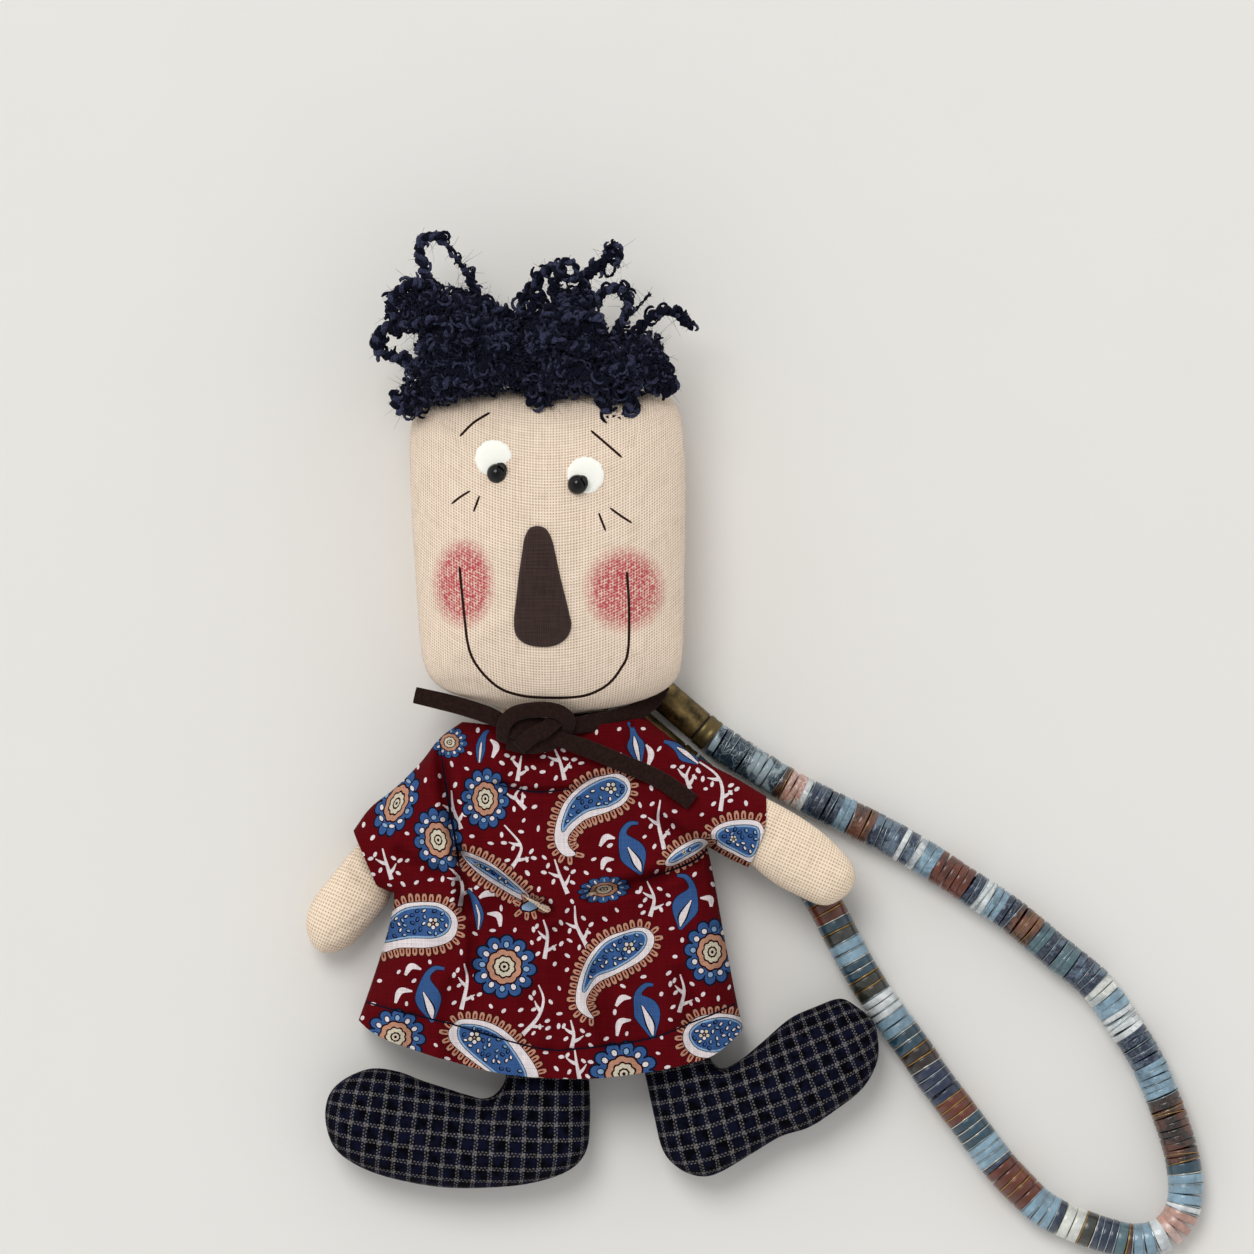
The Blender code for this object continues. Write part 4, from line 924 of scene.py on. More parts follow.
def dress_under(points):
    """Height of the cloth's underside: on the table, or over the strand under the right sleeve."""
    line = np.interp(points[:, 1], SLEEVE_EDGE[::-1, 1], SLEEVE_EDGE[::-1, 0])
    share = np.clip((points[:, 0] - line + 1.5) / 2.6, 0.0, 1.0) * (points[:, 1] > SLEEVE_EDGE[-1, 1])
    high = 0.3 + 6.1 * share * share * (3 - 2 * share)
    return np.minimum(high, dress_seam(points) - 0.6)


def dress_relief(points, off):
    """Creases, the stitched hem, the ripples of the skirt and small unevenness."""
    total = sum(crease(points, *row) for row in DRESS_CREASES)
    hem = smooth(plan([(360, 1000), (452, 1023), (536, 1046), (578, 1047), (649, 1037), (740, 1003)]))
    along, _ = nearest(points, hem[:-1], hem[1:])
    below = np.clip((np.interp(points[:, 0], hem[:, 0], hem[:, 1]) - points[:, 1]) / 0.6, 0, 1)
    total += 0.2 * below - 0.42 * np.exp(-(along / 0.36) ** 2)
    down = np.clip((10.0 - points[:, 1]) / 34.0, 0.0, 1.0)
    ripple = np.sin(points[:, 0] * 2 * math.pi / 7.4 + 0.9 * np.sin(points[:, 1] / 6.0))
    return 1.2 * total + 0.55 * down * ripple + 0.3 * waves(points, 6.5, 3) + 0.09 * waves(points, 2.4, 4)


print_cloths = [cloth("print_" + label, srgb(*colour), 0.3, 0.05, 0.35, 0.2, 0.9, 0.0, 0.42)
                for label, colour in zip(PRINT_NAMES, PRINT_COLOURS)]
dress = layers("dress_cloth", DRESS_EDGE, print_cloths, seam=dress_seam, top=dress_top, bottom=dress_under,
               reach=8.5, grid=0.62, prints=motifs, relief=dress_relief)
part(dress, "print_cotton", "dress")

# The head

HEAD_EDGE = around([
    (418, 412), (424, 401), (438, 396), (500, 390), (560, 388), (620, 389), (660, 394), (674, 403),
    (681, 420), (685, 467), (685, 530), (684, 600), (683, 645), (678, 675), (659, 693), (620, 706),
    (570, 714), (530, 713), (490, 704), (446, 690), (425, 664), (418, 600), (412, 500), (411, 434)])
head_top = field([(548, 560, 25.6), (548, 430, 24.0), (460, 560, 24.6), (640, 560, 24.8), (548, 680, 24.0),
                  (450, 660, 23.4), (650, 660, 23.4), (440, 420, 22.0), (670, 420, 22.0)])
INK_LINES = (
    ([(461, 438), (475, 424), (491, 414)], 2.5), ([(591, 432), (606, 445), (622, 459)], 2.5),
    ([(453, 505), (462, 498), (472, 492)], 2.3), ([(475, 513), (478, 505), (481, 497)], 2.3),
    ([(610, 509), (621, 517), (632, 524)], 2.3), ([(599, 514), (602, 522), (606, 532)], 2.3),
    ([(461, 567), (465, 608), (470, 647), (480, 668), (498, 686), (517, 694), (539, 697), (569, 697),
      (589, 694), (608, 684), (621, 668), (628, 651), (629, 608), (627, 572)], 2.7))
CHEEKS = ((465, 584, 30, 43), (625, 590, 39, 41))


def face_cloth(name, colour, blush):
    """Coarse linen; the blush is a fading stipple of small specks around two places."""
    n = Nodes(name)
    where = n.place()
    apart = n.make("ShaderNodeSeparateXYZ", {0: where})
    flat = n.make("ShaderNodeSeparateXYZ", {0: n.uv()})
    aside = n.plus(n.times(apart.outputs[0], 100.0), 0.2)
    pulled = n.minus(flat.outputs[1], n.times(n.times(aside, aside), 0.2))
    uv = n.make("ShaderNodeCombineXYZ", {0: flat.outputs[0], 1: pulled}).outputs[0]
    tone, holes = linen_threads(n, uv, (0.48, 0.48), colour, 0.09)
    speck = n.plus(n.times(n.noise(where, 1900.0, 3.0), 0.7), n.times(holes, 0.25))
    total = None
    for x, y, rx, ry in CHEEKS:
        cx, cy = plan([(x, y)])[0] * MM
        dx = n.math("DIVIDE", n.minus(apart.outputs[0], float(cx)), rx / PICTURE_SCALE * MM)
        dy = n.math("DIVIDE", n.minus(apart.outputs[1], float(cy)), ry / PICTURE_SCALE * MM)
        away = n.math("SQRT", n.plus(n.times(dx, dx), n.times(dy, dy)))
        near = n.minus(1.12, away, clamp=True)
        total = near if total is None else n.math("MAXIMUM", total, near)
    front = n.math("GREATER_THAN", apart.outputs[2], 13.0 * MM)
    fading = n.ramp(total, (0.0, 0.0), (0.2, 0.5), (0.42, 0.95), (1.0, 1.0))
    amount = n.times(n.times(fading, front), n.ramp(speck, (0.28, 0.22), (0.46, 0.96)))
    return n.finish(n.mix(amount, tone, blush), 0.95, **{"Sheen Weight": 0.12})


linen = face_cloth("linen_cloth", srgb(243, 224, 204), srgb(182, 50, 68))
ink = cloth("ink_on_linen", srgb(44, 28, 24), 0.4, 0.07, 0.3, 0.14, 0.9, 0.0)


def head_relief(points, off):
    return (0.16 * waves(points, 9.0, 21) + 0.05 * waves(points, 3.0, 22)
            + crease(points, [(430, 690), (470, 684), (520, 706)], 0.3, 0.9)
            + crease(points, [(420, 418), (450, 425), (470, 440)], 0.25, 1.0))


head = layers("head_cloth", HEAD_EDGE, [linen, ink], seam=12.6, top=head_top, bottom=0.0, reach=17.5,
              grid=0.75, power=2.05, prints=[(stroke(line, width), 1) for line, width in INK_LINES],
              relief=head_relief)
part(head, "linen", "head")
face_tree = BVHTree.FromPolygons(
    [tuple(v.co) for v in head.data.vertices], [tuple(p.vertices) for p in head.data.polygons])


def on_face(x, y):
    """Height of the head's cloth at a plan point."""
    hit = face_tree.ray_cast(Vector((x * MM, y * MM, 1.0)), Vector((0, 0, -1)))[0]
    return hit.z / MM if hit else 20.0


# Limbs and body


def stuffed(node, slot, outline, material, seam, top, bottom, reach, seed, folds=(), grid=0.75):
    """A stuffed piece over a plan outline, with seams all round, small bumps and a few folds."""

    def relief(points, off):
        total = 0.1 * waves(points, 7.0, seed) + 0.05 * waves(points, 2.6, seed + 1)
        for fold in folds:
            total = total + crease(points, *fold)
        return total

    made = layers(node + "_cloth", around(outline), [material], seam, top, bottom, reach, grid, 2.1,
                  relief=relief)
    return part(made, slot, node)


CHECK_PITCH = 0.26
DASH_PITCH = 0.06


def arm_cloth(name, colour):
    """Linen with its threads aslant."""
    n = Nodes(name)
    uv = n.uv()
    slanted = n.make("ShaderNodeMapping", {"Vector": uv, "Rotation": (0.0, 0.0,
            math.radians(24))}).outputs[0]
    tone, _ = linen_threads(n, slanted, (0.52, 0.62), colour, 0.09)
    return n.finish(tone, 0.95, **{"Sheen Weight": 0.12})


def check_cloth(name, turn, middle, bend):
    """Navy cloth with pale lines both ways, each of two rows of dashes, that turn along the leg."""
    n = Nodes(name)
    apart = n.make("ShaderNodeSeparateXYZ", {0: n.uv()})
    u = n.minus(apart.outputs[0], middle[0])
    v = n.minus(apart.outputs[1], middle[1])
    bent_u = n.plus(u, n.times(n.times(u, v), 2 * bend))
    squares = n.minus(n.times(u, u), n.times(v, v))
    bent_v = n.minus(v, n.times(squares, bend))
    bent = n.make("ShaderNodeCombineXYZ", {0: bent_u, 1: bent_v}).outputs[0]
    uv = n.make("ShaderNodeMapping", {"Vector": bent, "Rotation": (0.0, 0.0,
            math.radians(turn))}).outputs[0]
    apart = n.make("ShaderNodeSeparateXYZ", {0: uv})
    weave = n.times(n.wave(uv, 0.34, "X", 0.5), n.wave(uv, 0.34, "Y", 0.5))
    wander = n.times(n.minus(n.noise(uv, 9.0, 2.0), 0.5), 0.05)
    total, bands = None, []
    for axis in (0, 1):
        across = n.times(n.plus(apart.outputs[axis], wander), 1 / CHECK_PITCH)
        place = n.minus(n.math("FRACT", across), 0.5)
        bands.append(n.ramp(n.math("ABSOLUTE", place), (0.1, 1.0), (0.15, 0.0)))
        for shift in (-1, 1):
            line = n.ramp(n.math("ABSOLUTE", n.plus(place, 0.075 * shift)), (0.03, 1.0), (0.06, 0.0))
            dash = n.math("FRACT", n.plus(n.times(apart.outputs[1 - axis], 1 / DASH_PITCH), 0.25 * shift))
            both = n.times(line, n.ramp(dash, (0.46, 1.0), (0.58, 0.05)))
            total = both if total is None else n.math("MAXIMUM", total, both)
    worn = n.ramp(n.noise(uv, 60.0, 2.0), (0.34, 0.1), (0.58, 1.0))
    star = n.times(n.times(bands[0], bands[1]), 0.5)
    shown = n.plus(n.times(n.times(total, worn), 0.75), n.times(star, worn), clamp=True)
    base = n.mix(n.ramp(n.noise(uv, 5.0, 2.0), (0.4, 0.0), (0.6, 1.0)), srgb(3, 3, 7), srgb(13, 15, 34))
    n.bump(n.plus(weave, n.times(total, 0.6)), 0.06)
    return n.finish(n.mix(shown, base, srgb(128, 124, 123)), 0.95)


cream_cloth = arm_cloth("arm_linen", srgb(246, 226, 202))
check_left = check_cloth("check_left", 5.0, (-1.75, -3.0), 0.02)
check_right = check_cloth("check_right", -18.0, (3.25, -2.6), 0.038)
ARM_LEFT_EDGE = (
    (355, 848), (330, 878), (311, 904), (306, 930), (319, 952), (345, 949), (368, 927), (387, 903),
    (398, 876), (425, 846), (455, 820), (470, 798), (460, 778), (430, 784), (390, 812))
arm_left = stuffed(
    "arm_left", "arm_cloth", ARM_LEFT_EDGE, cream_cloth,
    seam=field([(330, 915, 5.0), (360, 870, 4.6), (385, 880, 3.6), (420, 840, 4.2), (460, 795, 5.0)]),
    top=field([(330, 915, 9.8), (350, 905, 9.4), (360, 880, 8.2), (378, 862, 6.6), (400, 850, 6.2),
               (430, 820, 7.0), (460, 790, 8.0), (320, 940, 9.6)]),
    folds=[([(352, 868), (362, 880), (376, 892)], 0.3, 0.7), ([(390, 884), (374, 905), (352, 924),
            (330, 936)], 0.3, 0.4)],
    bottom=0.6, reach=5.0, seed=31)
ARM_RIGHT_EDGE = (
    (770, 800), (802, 818), (830, 839), (853, 866), (851, 889), (826, 905), (795, 894), (770, 880),
    (744, 858), (712, 828), (672, 816), (638, 808), (628, 792), (640, 776), (680, 769), (728, 780))
arm_right = stuffed(
    "arm_right", "arm_cloth", ARM_RIGHT_EDGE, cream_cloth,
    folds=[([(775, 822), (768, 842), (756, 860)], 0.35, 0.7)],
    seam=10.8, top=15.3, bottom=6.4, reach=5.0, seed=37)
LEG_LEFT_EDGE = (
    (506, 1075), (498, 1092), (484, 1099), (466, 1095), (447, 1089), (422, 1081), (398, 1072), (371, 1069),
    (345, 1079), (329, 1095), (325, 1120), (334, 1148), (357, 1166), (392, 1179), (443, 1188), (494, 1188),
    (535, 1183), (569, 1171), (586, 1152), (590, 1122), (589, 1079), (583, 1048), (571, 1018), (538, 1007),
    (503, 1016), (503, 1046))
leg_left = stuffed(
    "leg_left", "check_cloth", LEG_LEFT_EDGE, check_left,
    top=field([(538, 1010, 9.0), (545, 1060, 10.4), (548, 1130, 13.0), (440, 1130, 12.6),
               (350, 1120, 12.8), (590, 1150, 13)]),
    folds=[([(484, 1099), (505, 1112), (530, 1120)], 0.7, 1.0),
           ([(498, 1092), (520, 1098), (548, 1100)], 0.35, 0.9)],
    seam=6.2, bottom=0.0, reach=8.0, seed=41)
LEG_RIGHT_EDGE = (
    (640, 1060), (645, 1075), (654, 1116), (663, 1151), (679, 1169), (700, 1177), (720, 1173), (754, 1153),
    (781, 1137), (809, 1128), (834, 1112), (861, 1091), (875, 1069), (879, 1048), (874, 1023), (857, 1007),
    (840, 999), (816, 1007), (790, 1019), (763, 1042), (741, 1060), (722, 1069), (709, 1057), (697, 1030),
    (664, 1004), (632, 999), (603, 1013), (622, 1042))
leg_right = stuffed(
    "leg_right", "check_cloth", LEG_RIGHT_EDGE, check_right,
    top=field([(632, 1005, 8.6), (665, 1050, 9.8), (695, 1130, 12.9), (780, 1080, 12.2), (850, 1045, 12.6),
               (700, 1170, 13)]),
    folds=[([(720, 1070), (712, 1086), (690, 1100)], 0.7, 1.0),
           ([(710, 1060), (694, 1074), (672, 1084)], 0.35, 0.9)],
    seam=6.2, bottom=0.0, reach=8.0, seed=47)
TORSO_EDGE = (
    (505, 706), (503, 722), (484, 742), (478, 780), (476, 850), (480, 930), (492, 985), (540, 998),
    (600, 996), (640, 985), (648, 930), (642, 850), (620, 790), (600, 745), (568, 722), (566, 706))
torso = stuffed(
    "torso", "linen", TORSO_EDGE, cream_cloth,
    seam=8.0, top=14.8, bottom=1.3, reach=9.0, seed=53, grid=1.4)

# The strand of discs

STRAND_Z = 3.05
STRAND_ROUTE = [
    (25.7, 31.8), (31.3, 28.1), (38.0, 24.0), (43.7, 21.0), (49.2, 18.3), (56.2, 14.7), (62.8, 10.7),
    (69.2, 6.5), (75.5, 2.3), (82.7, -3.7), (89.5, -9.3), (94.3, -16.0), (97.7, -21.3), (100.3, -27.0),
    (102.5, -33.0), (104.0, -38.3), (104.6, -43.5), (103.7, -47.8), (100.8, -51.0), (96.3, -52.2),
    (91.3, -51.2), (85.7, -49.2), (80.8, -46.8), (77.2, -43.5), (73.3, -39.3), (67.8, -32.0),
    (62.3, -24.7), (60.0, -21.2), (56.8, -16.8), (53.0, -11.5), (50.0, -6.7), (46.8, -0.8), (44.3, 4.0),
    (40.2, 10.2), (35.0, 15.4), (29.0, 20.4), (23.7, 25.0), (21.5, 26.9)]
BEADS = (
    (0.0, "teal_crackle"), (13.0, "brown"), (14.2, "pink"), (17.4, "white"), (18.5, "navy"),
    (24.0, "light"), (26.4, "brown"), (30.4, "navy"), (35.7, "white"), (36.7, "navy"), (38.4, "white"),
    (39.8, "light"), (42.7, "rust"), (49.2, "navy"), (51.2, "white"), (53.4, "light"), (55.9, "navy"),
    (58.2, "brown"), (63.0, "grey_teal"), (65.2, "navy"), (68.0, "grey_teal"), (71.0, "navy"),
    (76.2, "cream"), (78.8, "light"), (81.8, "white"), (86.0, "navy"), (92.0, "light"), (97.8, "dark"),
    (109.4, "teal"), (111.4, "light"), (116.6, "white"), (117.7, "pink"), (122.4, "white"),
    (124.6, "light"), (128.3, "brown"), (129.2, "grey_teal"), (131.1, "navy"), (135.0, "olive"),
    (137.0, "cream"), (140.7, "navy"), (142.1, "light"), (146.7, "rust"), (154.7, "navy"),
    (155.6, "light"), (159.7, "teal"), (164.3, "rust"), (168.7, "navy_blue"), (175.2, "dark"),
    (178.8, "teal"), (182.3, "light"), (185.8, "white"), (189.8, "olive"), (193.5, "teal"),
    (196.6, "light"), (200.3, "olive"), (202.4, "teal"), (204.2, "rust"), (207.9, "teal"))
BEAD_COLOURS = {
    "teal_crackle": (29, 50, 66), "brown": (52, 30, 24), "pink": (186, 142, 128), "white": (208, 213, 214),
    "navy": (24, 38, 62),
    "light": (128, 158, 176), "rust": (96, 40, 18), "grey_teal": (78, 106, 114), "cream": (212, 214, 206),
    "dark": (32, 26, 24),
    "teal": (30, 62, 78), "olive": (40, 40, 32), "navy_blue": (22, 36, 66), "gold": (168, 134, 84),
    "silver": (190, 190, 182), "pale": (150, 162, 166)}
FIRST_CLEAN = 108.0
DISC_SIDES = 28
BORE = 0.4
LINED = {"dark": "gold", "rust": "gold", "teal": "silver", "light": "pale", "white": "pale", "cream": None,
         "pink": None, "olive": "gold", "brown": "gold"}


def bead_glass(name, colour, veins, second):
    """Glossy shell: clouds of a second colour, fine bent cracks and small pits."""
    n = Nodes(name)
    where = n.place()
    push = n.make("ShaderNodeTexNoise", {"Vector": where, "Scale": 420.0, "Detail": 3.0}).outputs["Color"]
    shift = n.make("ShaderNodeVectorMath", {0: push}, operation="SCALE")
    shift.inputs["Scale"].default_value = 0.003
    bent = n.make("ShaderNodeVectorMath", {0: where, 1: shift.outputs[0]}, operation="ADD").outputs[0]
    cloud = n.noise(bent, 360.0, 4.0, 0.6)
    tone = n.mix(n.ramp(cloud, (0.3, 0.0), (0.7, 1.0)), tuple(c * 0.6 for c in colour),
                 tuple(min(1.0, c * 1.25) for c in colour))
    patch = n.noise(bent, 230.0, 3.0, 0.55)
    tone = n.mix(n.times(n.ramp(patch, (0.52, 0.0), (0.62, 1.0)), veins), tone, second)
    edge = n.make("ShaderNodeTexVoronoi", {"Vector": bent, "Scale": 760.0},
                  feature="DISTANCE_TO_EDGE").outputs["Distance"]
    tone = n.mix(n.times(n.ramp(edge, (0.0, 1.0), (0.05, 0.0)), veins * 0.8), tone, second)
    n.bump(n.plus(n.noise(where, 900.0, 3.0), n.times(n.ramp(edge, (0.0, 0.0), (0.1, 1.0)), veins)), 0.06)
    return n.finish(tone, 0.3, **{"Coat Weight": 0.55, "Coat Roughness": 0.08, "Coat IOR": 1.45})


BEAD_SECOND = {"teal_crackle": (0.8, (150, 168, 176)), "pink": (0.8, (222, 222, 216)),
               "navy": (0.6, (112, 134, 152)), "brown": (0.55, (132, 82, 58)),
               "grey_teal": (0.6, (26, 42, 58)), "white": (0.5, (70, 92, 110)),
               "light": (0.55, (48, 68, 88)), "rust": (0.55, (34, 17, 14)),
               "dark": (0.5, (110, 58, 34)), "cream": (0.45, (120, 140, 150))}
bead_names, bead_materials = [], []


def bead_pick(label, clean=False):
    """The material number of a disc; the beads of the clean half have few veins."""
    name = label + "_clean" if clean else label
    if name not in bead_names:
        colour = srgb(*BEAD_COLOURS[label])
        if label in ("gold", "silver", "pale"):
            made = plain("bead_" + name, colour, 0.25, 0.9, 0.3)
        else:
            amount, second = BEAD_SECOND.get(label, (0.3, (120, 130, 130)))
            made = bead_glass("bead_" + name, colour, amount * (0.3 if clean else 1.0), srgb(*second))
        bead_names.append(name)
        bead_materials.append(made)
    return bead_names.index(name)


strand_line = smooth(STRAND_ROUTE, steps=24)
strand_along = distances(strand_line)
STRAND_LENGTH = float(strand_along[-1])


def strand_at(distance):
    """The plan point at a distance along the strand."""
    return np.array([np.interp(distance, strand_along, strand_line[:, k]) for k in range(2)])


def disc(builder, distance, thick, radius, pick, tilt, dice, bevel):
    """A disc with rounded rims and a bore, across the strand at a distance along it."""
    at = strand_at(distance)
    way = strand_at(min(distance + 0.4, STRAND_LENGTH)) - strand_at(max(distance - 0.4, 0.0))
    way = way / np.linalg.norm(way)
    turned = np.array((-way[1], way[0], 0.0)) * dice.uniform(-tilt, tilt)
    axis = np.array((way[0], way[1], 0.0)) + turned + np.array((0, 0, dice.uniform(-tilt, tilt)))
    axis /= np.linalg.norm(axis)
    side = np.array((0.0, 0.0, 1.0)) - axis * axis[2]
    side /= np.linalg.norm(side)
    half = thick / 2
    rim = min(bevel, half * 0.7)
    lower = [(BORE, -half), (radius - rim, -half), (radius - rim * 0.3, rim * 0.25 - half),
             (radius, rim - half)]
    profile = lower + [(r, -h) for r, h in lower[::-1]]
    points, faces = lathe(profile, (at[0], at[1], STRAND_Z), axis, side, DISC_SIDES)
    last = (len(profile) - 1) * DISC_SIDES
    for k in range(DISC_SIDES):
        j = (k + 1) % DISC_SIDES
        faces.append((last + k, last + j, j, k))
    builder.add(points, [f[::-1] for f in faces], pick)


strand = Builder()
dice = random.Random(5)
for (start, label), (stop, _) in zip(BEADS, BEADS[1:] + ((STRAND_LENGTH, ""),)):
    clean = start >= FIRST_CLEAN
    count = max(1, int(round((stop - start) / (1.5 if clean else 1.2))))
    pitch = (stop - start) / count
    for k in range(count):
        middle = start + (k + 0.5) * pitch
        if clean:
            radius = 2.97 * (1 + dice.uniform(-0.015, 0.008))
            disc(strand, middle, pitch * 0.9, radius, bead_pick(label, True), 0.025, dice, 0.22)
        else:
            radius = 2.93 * (1 + dice.uniform(-0.035, 0.02))
            disc(strand, middle, pitch * 0.99, radius, bead_pick(label), 0.07, dice, 0.24)
        metal = LINED.get(label, "silver" if clean and dice.random() < 0.4 else "pale")
        if metal and dice.random() < (0.9 if clean else 0.5):
            thick, tilt = (0.2, 0.03) if clean else (0.13, 0.12)
            disc(strand, start + (k + 1) * pitch - 0.02, thick, 3.0, bead_pick(metal), tilt, dice, 0.05)
string_points = [(*strand_at(d), STRAND_Z) for d in np.linspace(0, STRAND_LENGTH, 240)]
strand.tube(string_points, 0.5, pick=bead_pick("brown"))
beads = part(strand.store("bead_strand", bead_materials), "bead_navy",
             *["bead_run_%02d" % k for k in range(1, 40)])

# Brass caps

brass = Nodes("aged_brass")
brass_place = brass.place()
brass_patch = brass.ramp(brass.noise(brass_place, 380.0, 5.0, 0.65), (0.35, 0.0), (0.65, 1.0))
brass.bump(brass.noise(brass_place, 1100.0, 4.0), 0.05)
brass = brass.finish(brass.mix(brass_patch, srgb(44, 37, 22), srgb(132, 110, 66)), 0.4, Metallic=0.75)
brass_dark = plain("brass_groove", srgb(26, 22, 18), 0.6, 0.4, 0.3)
brass_light = plain("brass_collar", srgb(98, 84, 52), 0.4, 0.8, 0.35)
CAP_OUT = np.array((math.cos(math.radians(-40.5)), math.sin(math.radians(-40.5)), 0.0))
CAP_FLANK = np.array((-CAP_OUT[1], CAP_OUT[0], 0.0))
UPPER_MOUTH = np.array((25.4, 32.1, STRAND_Z))
for name, mouth in (("end_cap_upper", UPPER_MOUTH), ("end_cap_lower", UPPER_MOUTH - CAP_FLANK * 6.4)):
    cap = Builder()
    for outline, pick in (
            ([(0.0, -12.0), (1.6, -11.95), (2.3, -11.7), (2.62, -11.2), (2.7, -10.6), (2.7, -2.75)], 0),
            ([(2.7, -2.75), (2.5, -2.65), (2.5, -2.45), (2.72, -2.38)], 1),
            ([(2.72, -2.38), (2.86, -2.2), (2.86, -1.5), (2.8, -1.42), (2.8, -0.75), (2.88, -0.62),
              (2.88, -0.1), (2.78, 0.0), (2.3, 0.0), (2.2, -0.1), (2.2, -1.2)], 2), ([(2.2, -1.2),
              (0.0, -1.2)], 1)):
        points, faces = lathe(outline, mouth, CAP_OUT, (0, 0, 1), 48)
        cap.add(points, [f[::-1] for f in faces], pick)
    eye = []
    for k in range(25):
        angle = k * 2 * math.pi / 24
        eye.append(mouth - CAP_OUT * (12.9 - 1.25 * math.cos(angle)) + np.array((0, 0,
                1.25 * math.sin(angle))))
    cap.tube(eye, 0.42, 10, False)
    part(cap.store("turned_" + name, [brass, brass_dark, brass_light]), "brass", name)

# Eyes, pupils and nose

white_felt = cloth("eye_cloth", srgb(255, 255, 245), 0.3, 0.03, 0.1, 0.04, 0.8, 0.05, 0.06)
glass = plain("pupil_glass", srgb(6, 6, 8), 0.08, 0.0, 0.2)
glass.node_tree.nodes["Principled BSDF"].inputs["Specular IOR Level"].default_value = 0.3
black_thread = plain("pupil_thread", srgb(20, 18, 22), 0.7, 0.0, 0.3)
for side, centre, pupil, stitch in (("left", (495, 460), (498, 475),
                                     ((499, 466), (504, 466), (507, 470), (505, 476))),
                                    ("right", (586, 477), (578, 486),
                                     ((582, 478), (586, 480), (587, 486), (584, 491)))):
    x, y = plan([centre])[0]
    ground = on_face(x, y)
    points, faces = lathe([(0.0, 0.62), (1.4, 0.6), (2.4, 0.54), (2.86, 0.42), (3.05, 0.2), (3.1, 0.0),
                           (2.95, -0.5)],
                          (x, y, ground - 0.05), (0, 0, 1), (1, 0, 0), 56,
                          lambda p: p + np.column_stack((0.05 * np.sin(p[:, 1] * 4),
                                  0.05 * np.sin(p[:, 0] * 5), np.zeros(len(p)))))
    part(store("eye_disc_" + side, points, faces, [white_felt], uv=points[:, :2]), "eye_white",
         "eye_white_" + side)
    px, py = plan([pupil])[0]
    bead = Builder()
    points, faces = lathe([(0.0, 1.62), (0.3, 1.6), (0.62, 1.51), (0.95, 1.34), (1.25, 1.07), (1.48, 0.72),
                           (1.62, 0.3), (1.65, 0.0), (1.5, -0.6)],
                          (px, py, ground + 0.62), (0, 0, 1), (1, 0, 0), 40)
    bead.add(points, faces)
    line = smooth([(*plan([s])[0], ground + 0.75 + h) for s, h in zip(stitch, (1.1, 1.3, 1.05, 0.5))])
    bead.tube(line, 0.24, pick=1)
    part(bead.store("pupil_" + side, [glass, black_thread]), "black_glass", "pupil_bead_" + side)

nose_material = cloth("nose_ribbing", srgb(62, 48, 45), 0.36, 0.06, 0.6, 0.25, 0.95, 0.1, 0.5)
NOSE = [(538, 527), (547, 530), (553, 541), (557, 558), (561, 577), (566, 597), (570, 614), (572, 625),
        (568, 637), (557, 645), (543, 647), (527, 644), (517, 635), (515, 620), (517, 602), (520, 575),
        (523, 555), (525, 541), (530, 530)]


def nose_relief(points, off):
    return 0.07 * np.sin(points[:, 1] * 2 * math.pi / 0.62 + 0.3 * np.sin(points[:,
            0] * 0.8)) + 0.04 * waves(points, 1.4, 61)


def nose_base(points):
    return np.array([on_face(x, y) for x, y in points]) - 0.1


nose = layers("nose_cloth", around(NOSE, 0.3), [nose_material], seam=lambda p: nose_base(p) + 0.25,
              top=lambda p: nose_base(p) + 0.95, bottom=nose_base, reach=0.8, grid=0.2, relief=nose_relief,
              rings=(0.05, 0.16, 0.35))
part(nose, "nose_cloth", "nose_patch")

# Hair of looped yarn


HAIR_Z = 17.0
YARN_STEP = 0.36
YARN_TWIST = 2.6
CURL_SHAPE = (0.5, 0.9, 1.1, 0.9, 1.15, 0.9, 1.1, 0.85, 0.4)


def yarn_finish(name, dark, light):
    return grained(name, dark, light, (3200.0, 4.0, 0.7), (0.35, 0.75), 0.1, 0.85, **{"Sheen Weight": 0.03})


# The third finish is near-black painted shade for the core under the yarn, seen through its gaps.
yarn_colours = [yarn_finish("yarn_deep", srgb(4, 5, 12), srgb(24, 27, 48)),
                yarn_finish("yarn_mid", srgb(14, 16, 34), srgb(78, 82, 110)),
                yarn_finish("yarn_gap_shade", srgb(4, 4, 10), srgb(12, 13, 26))]


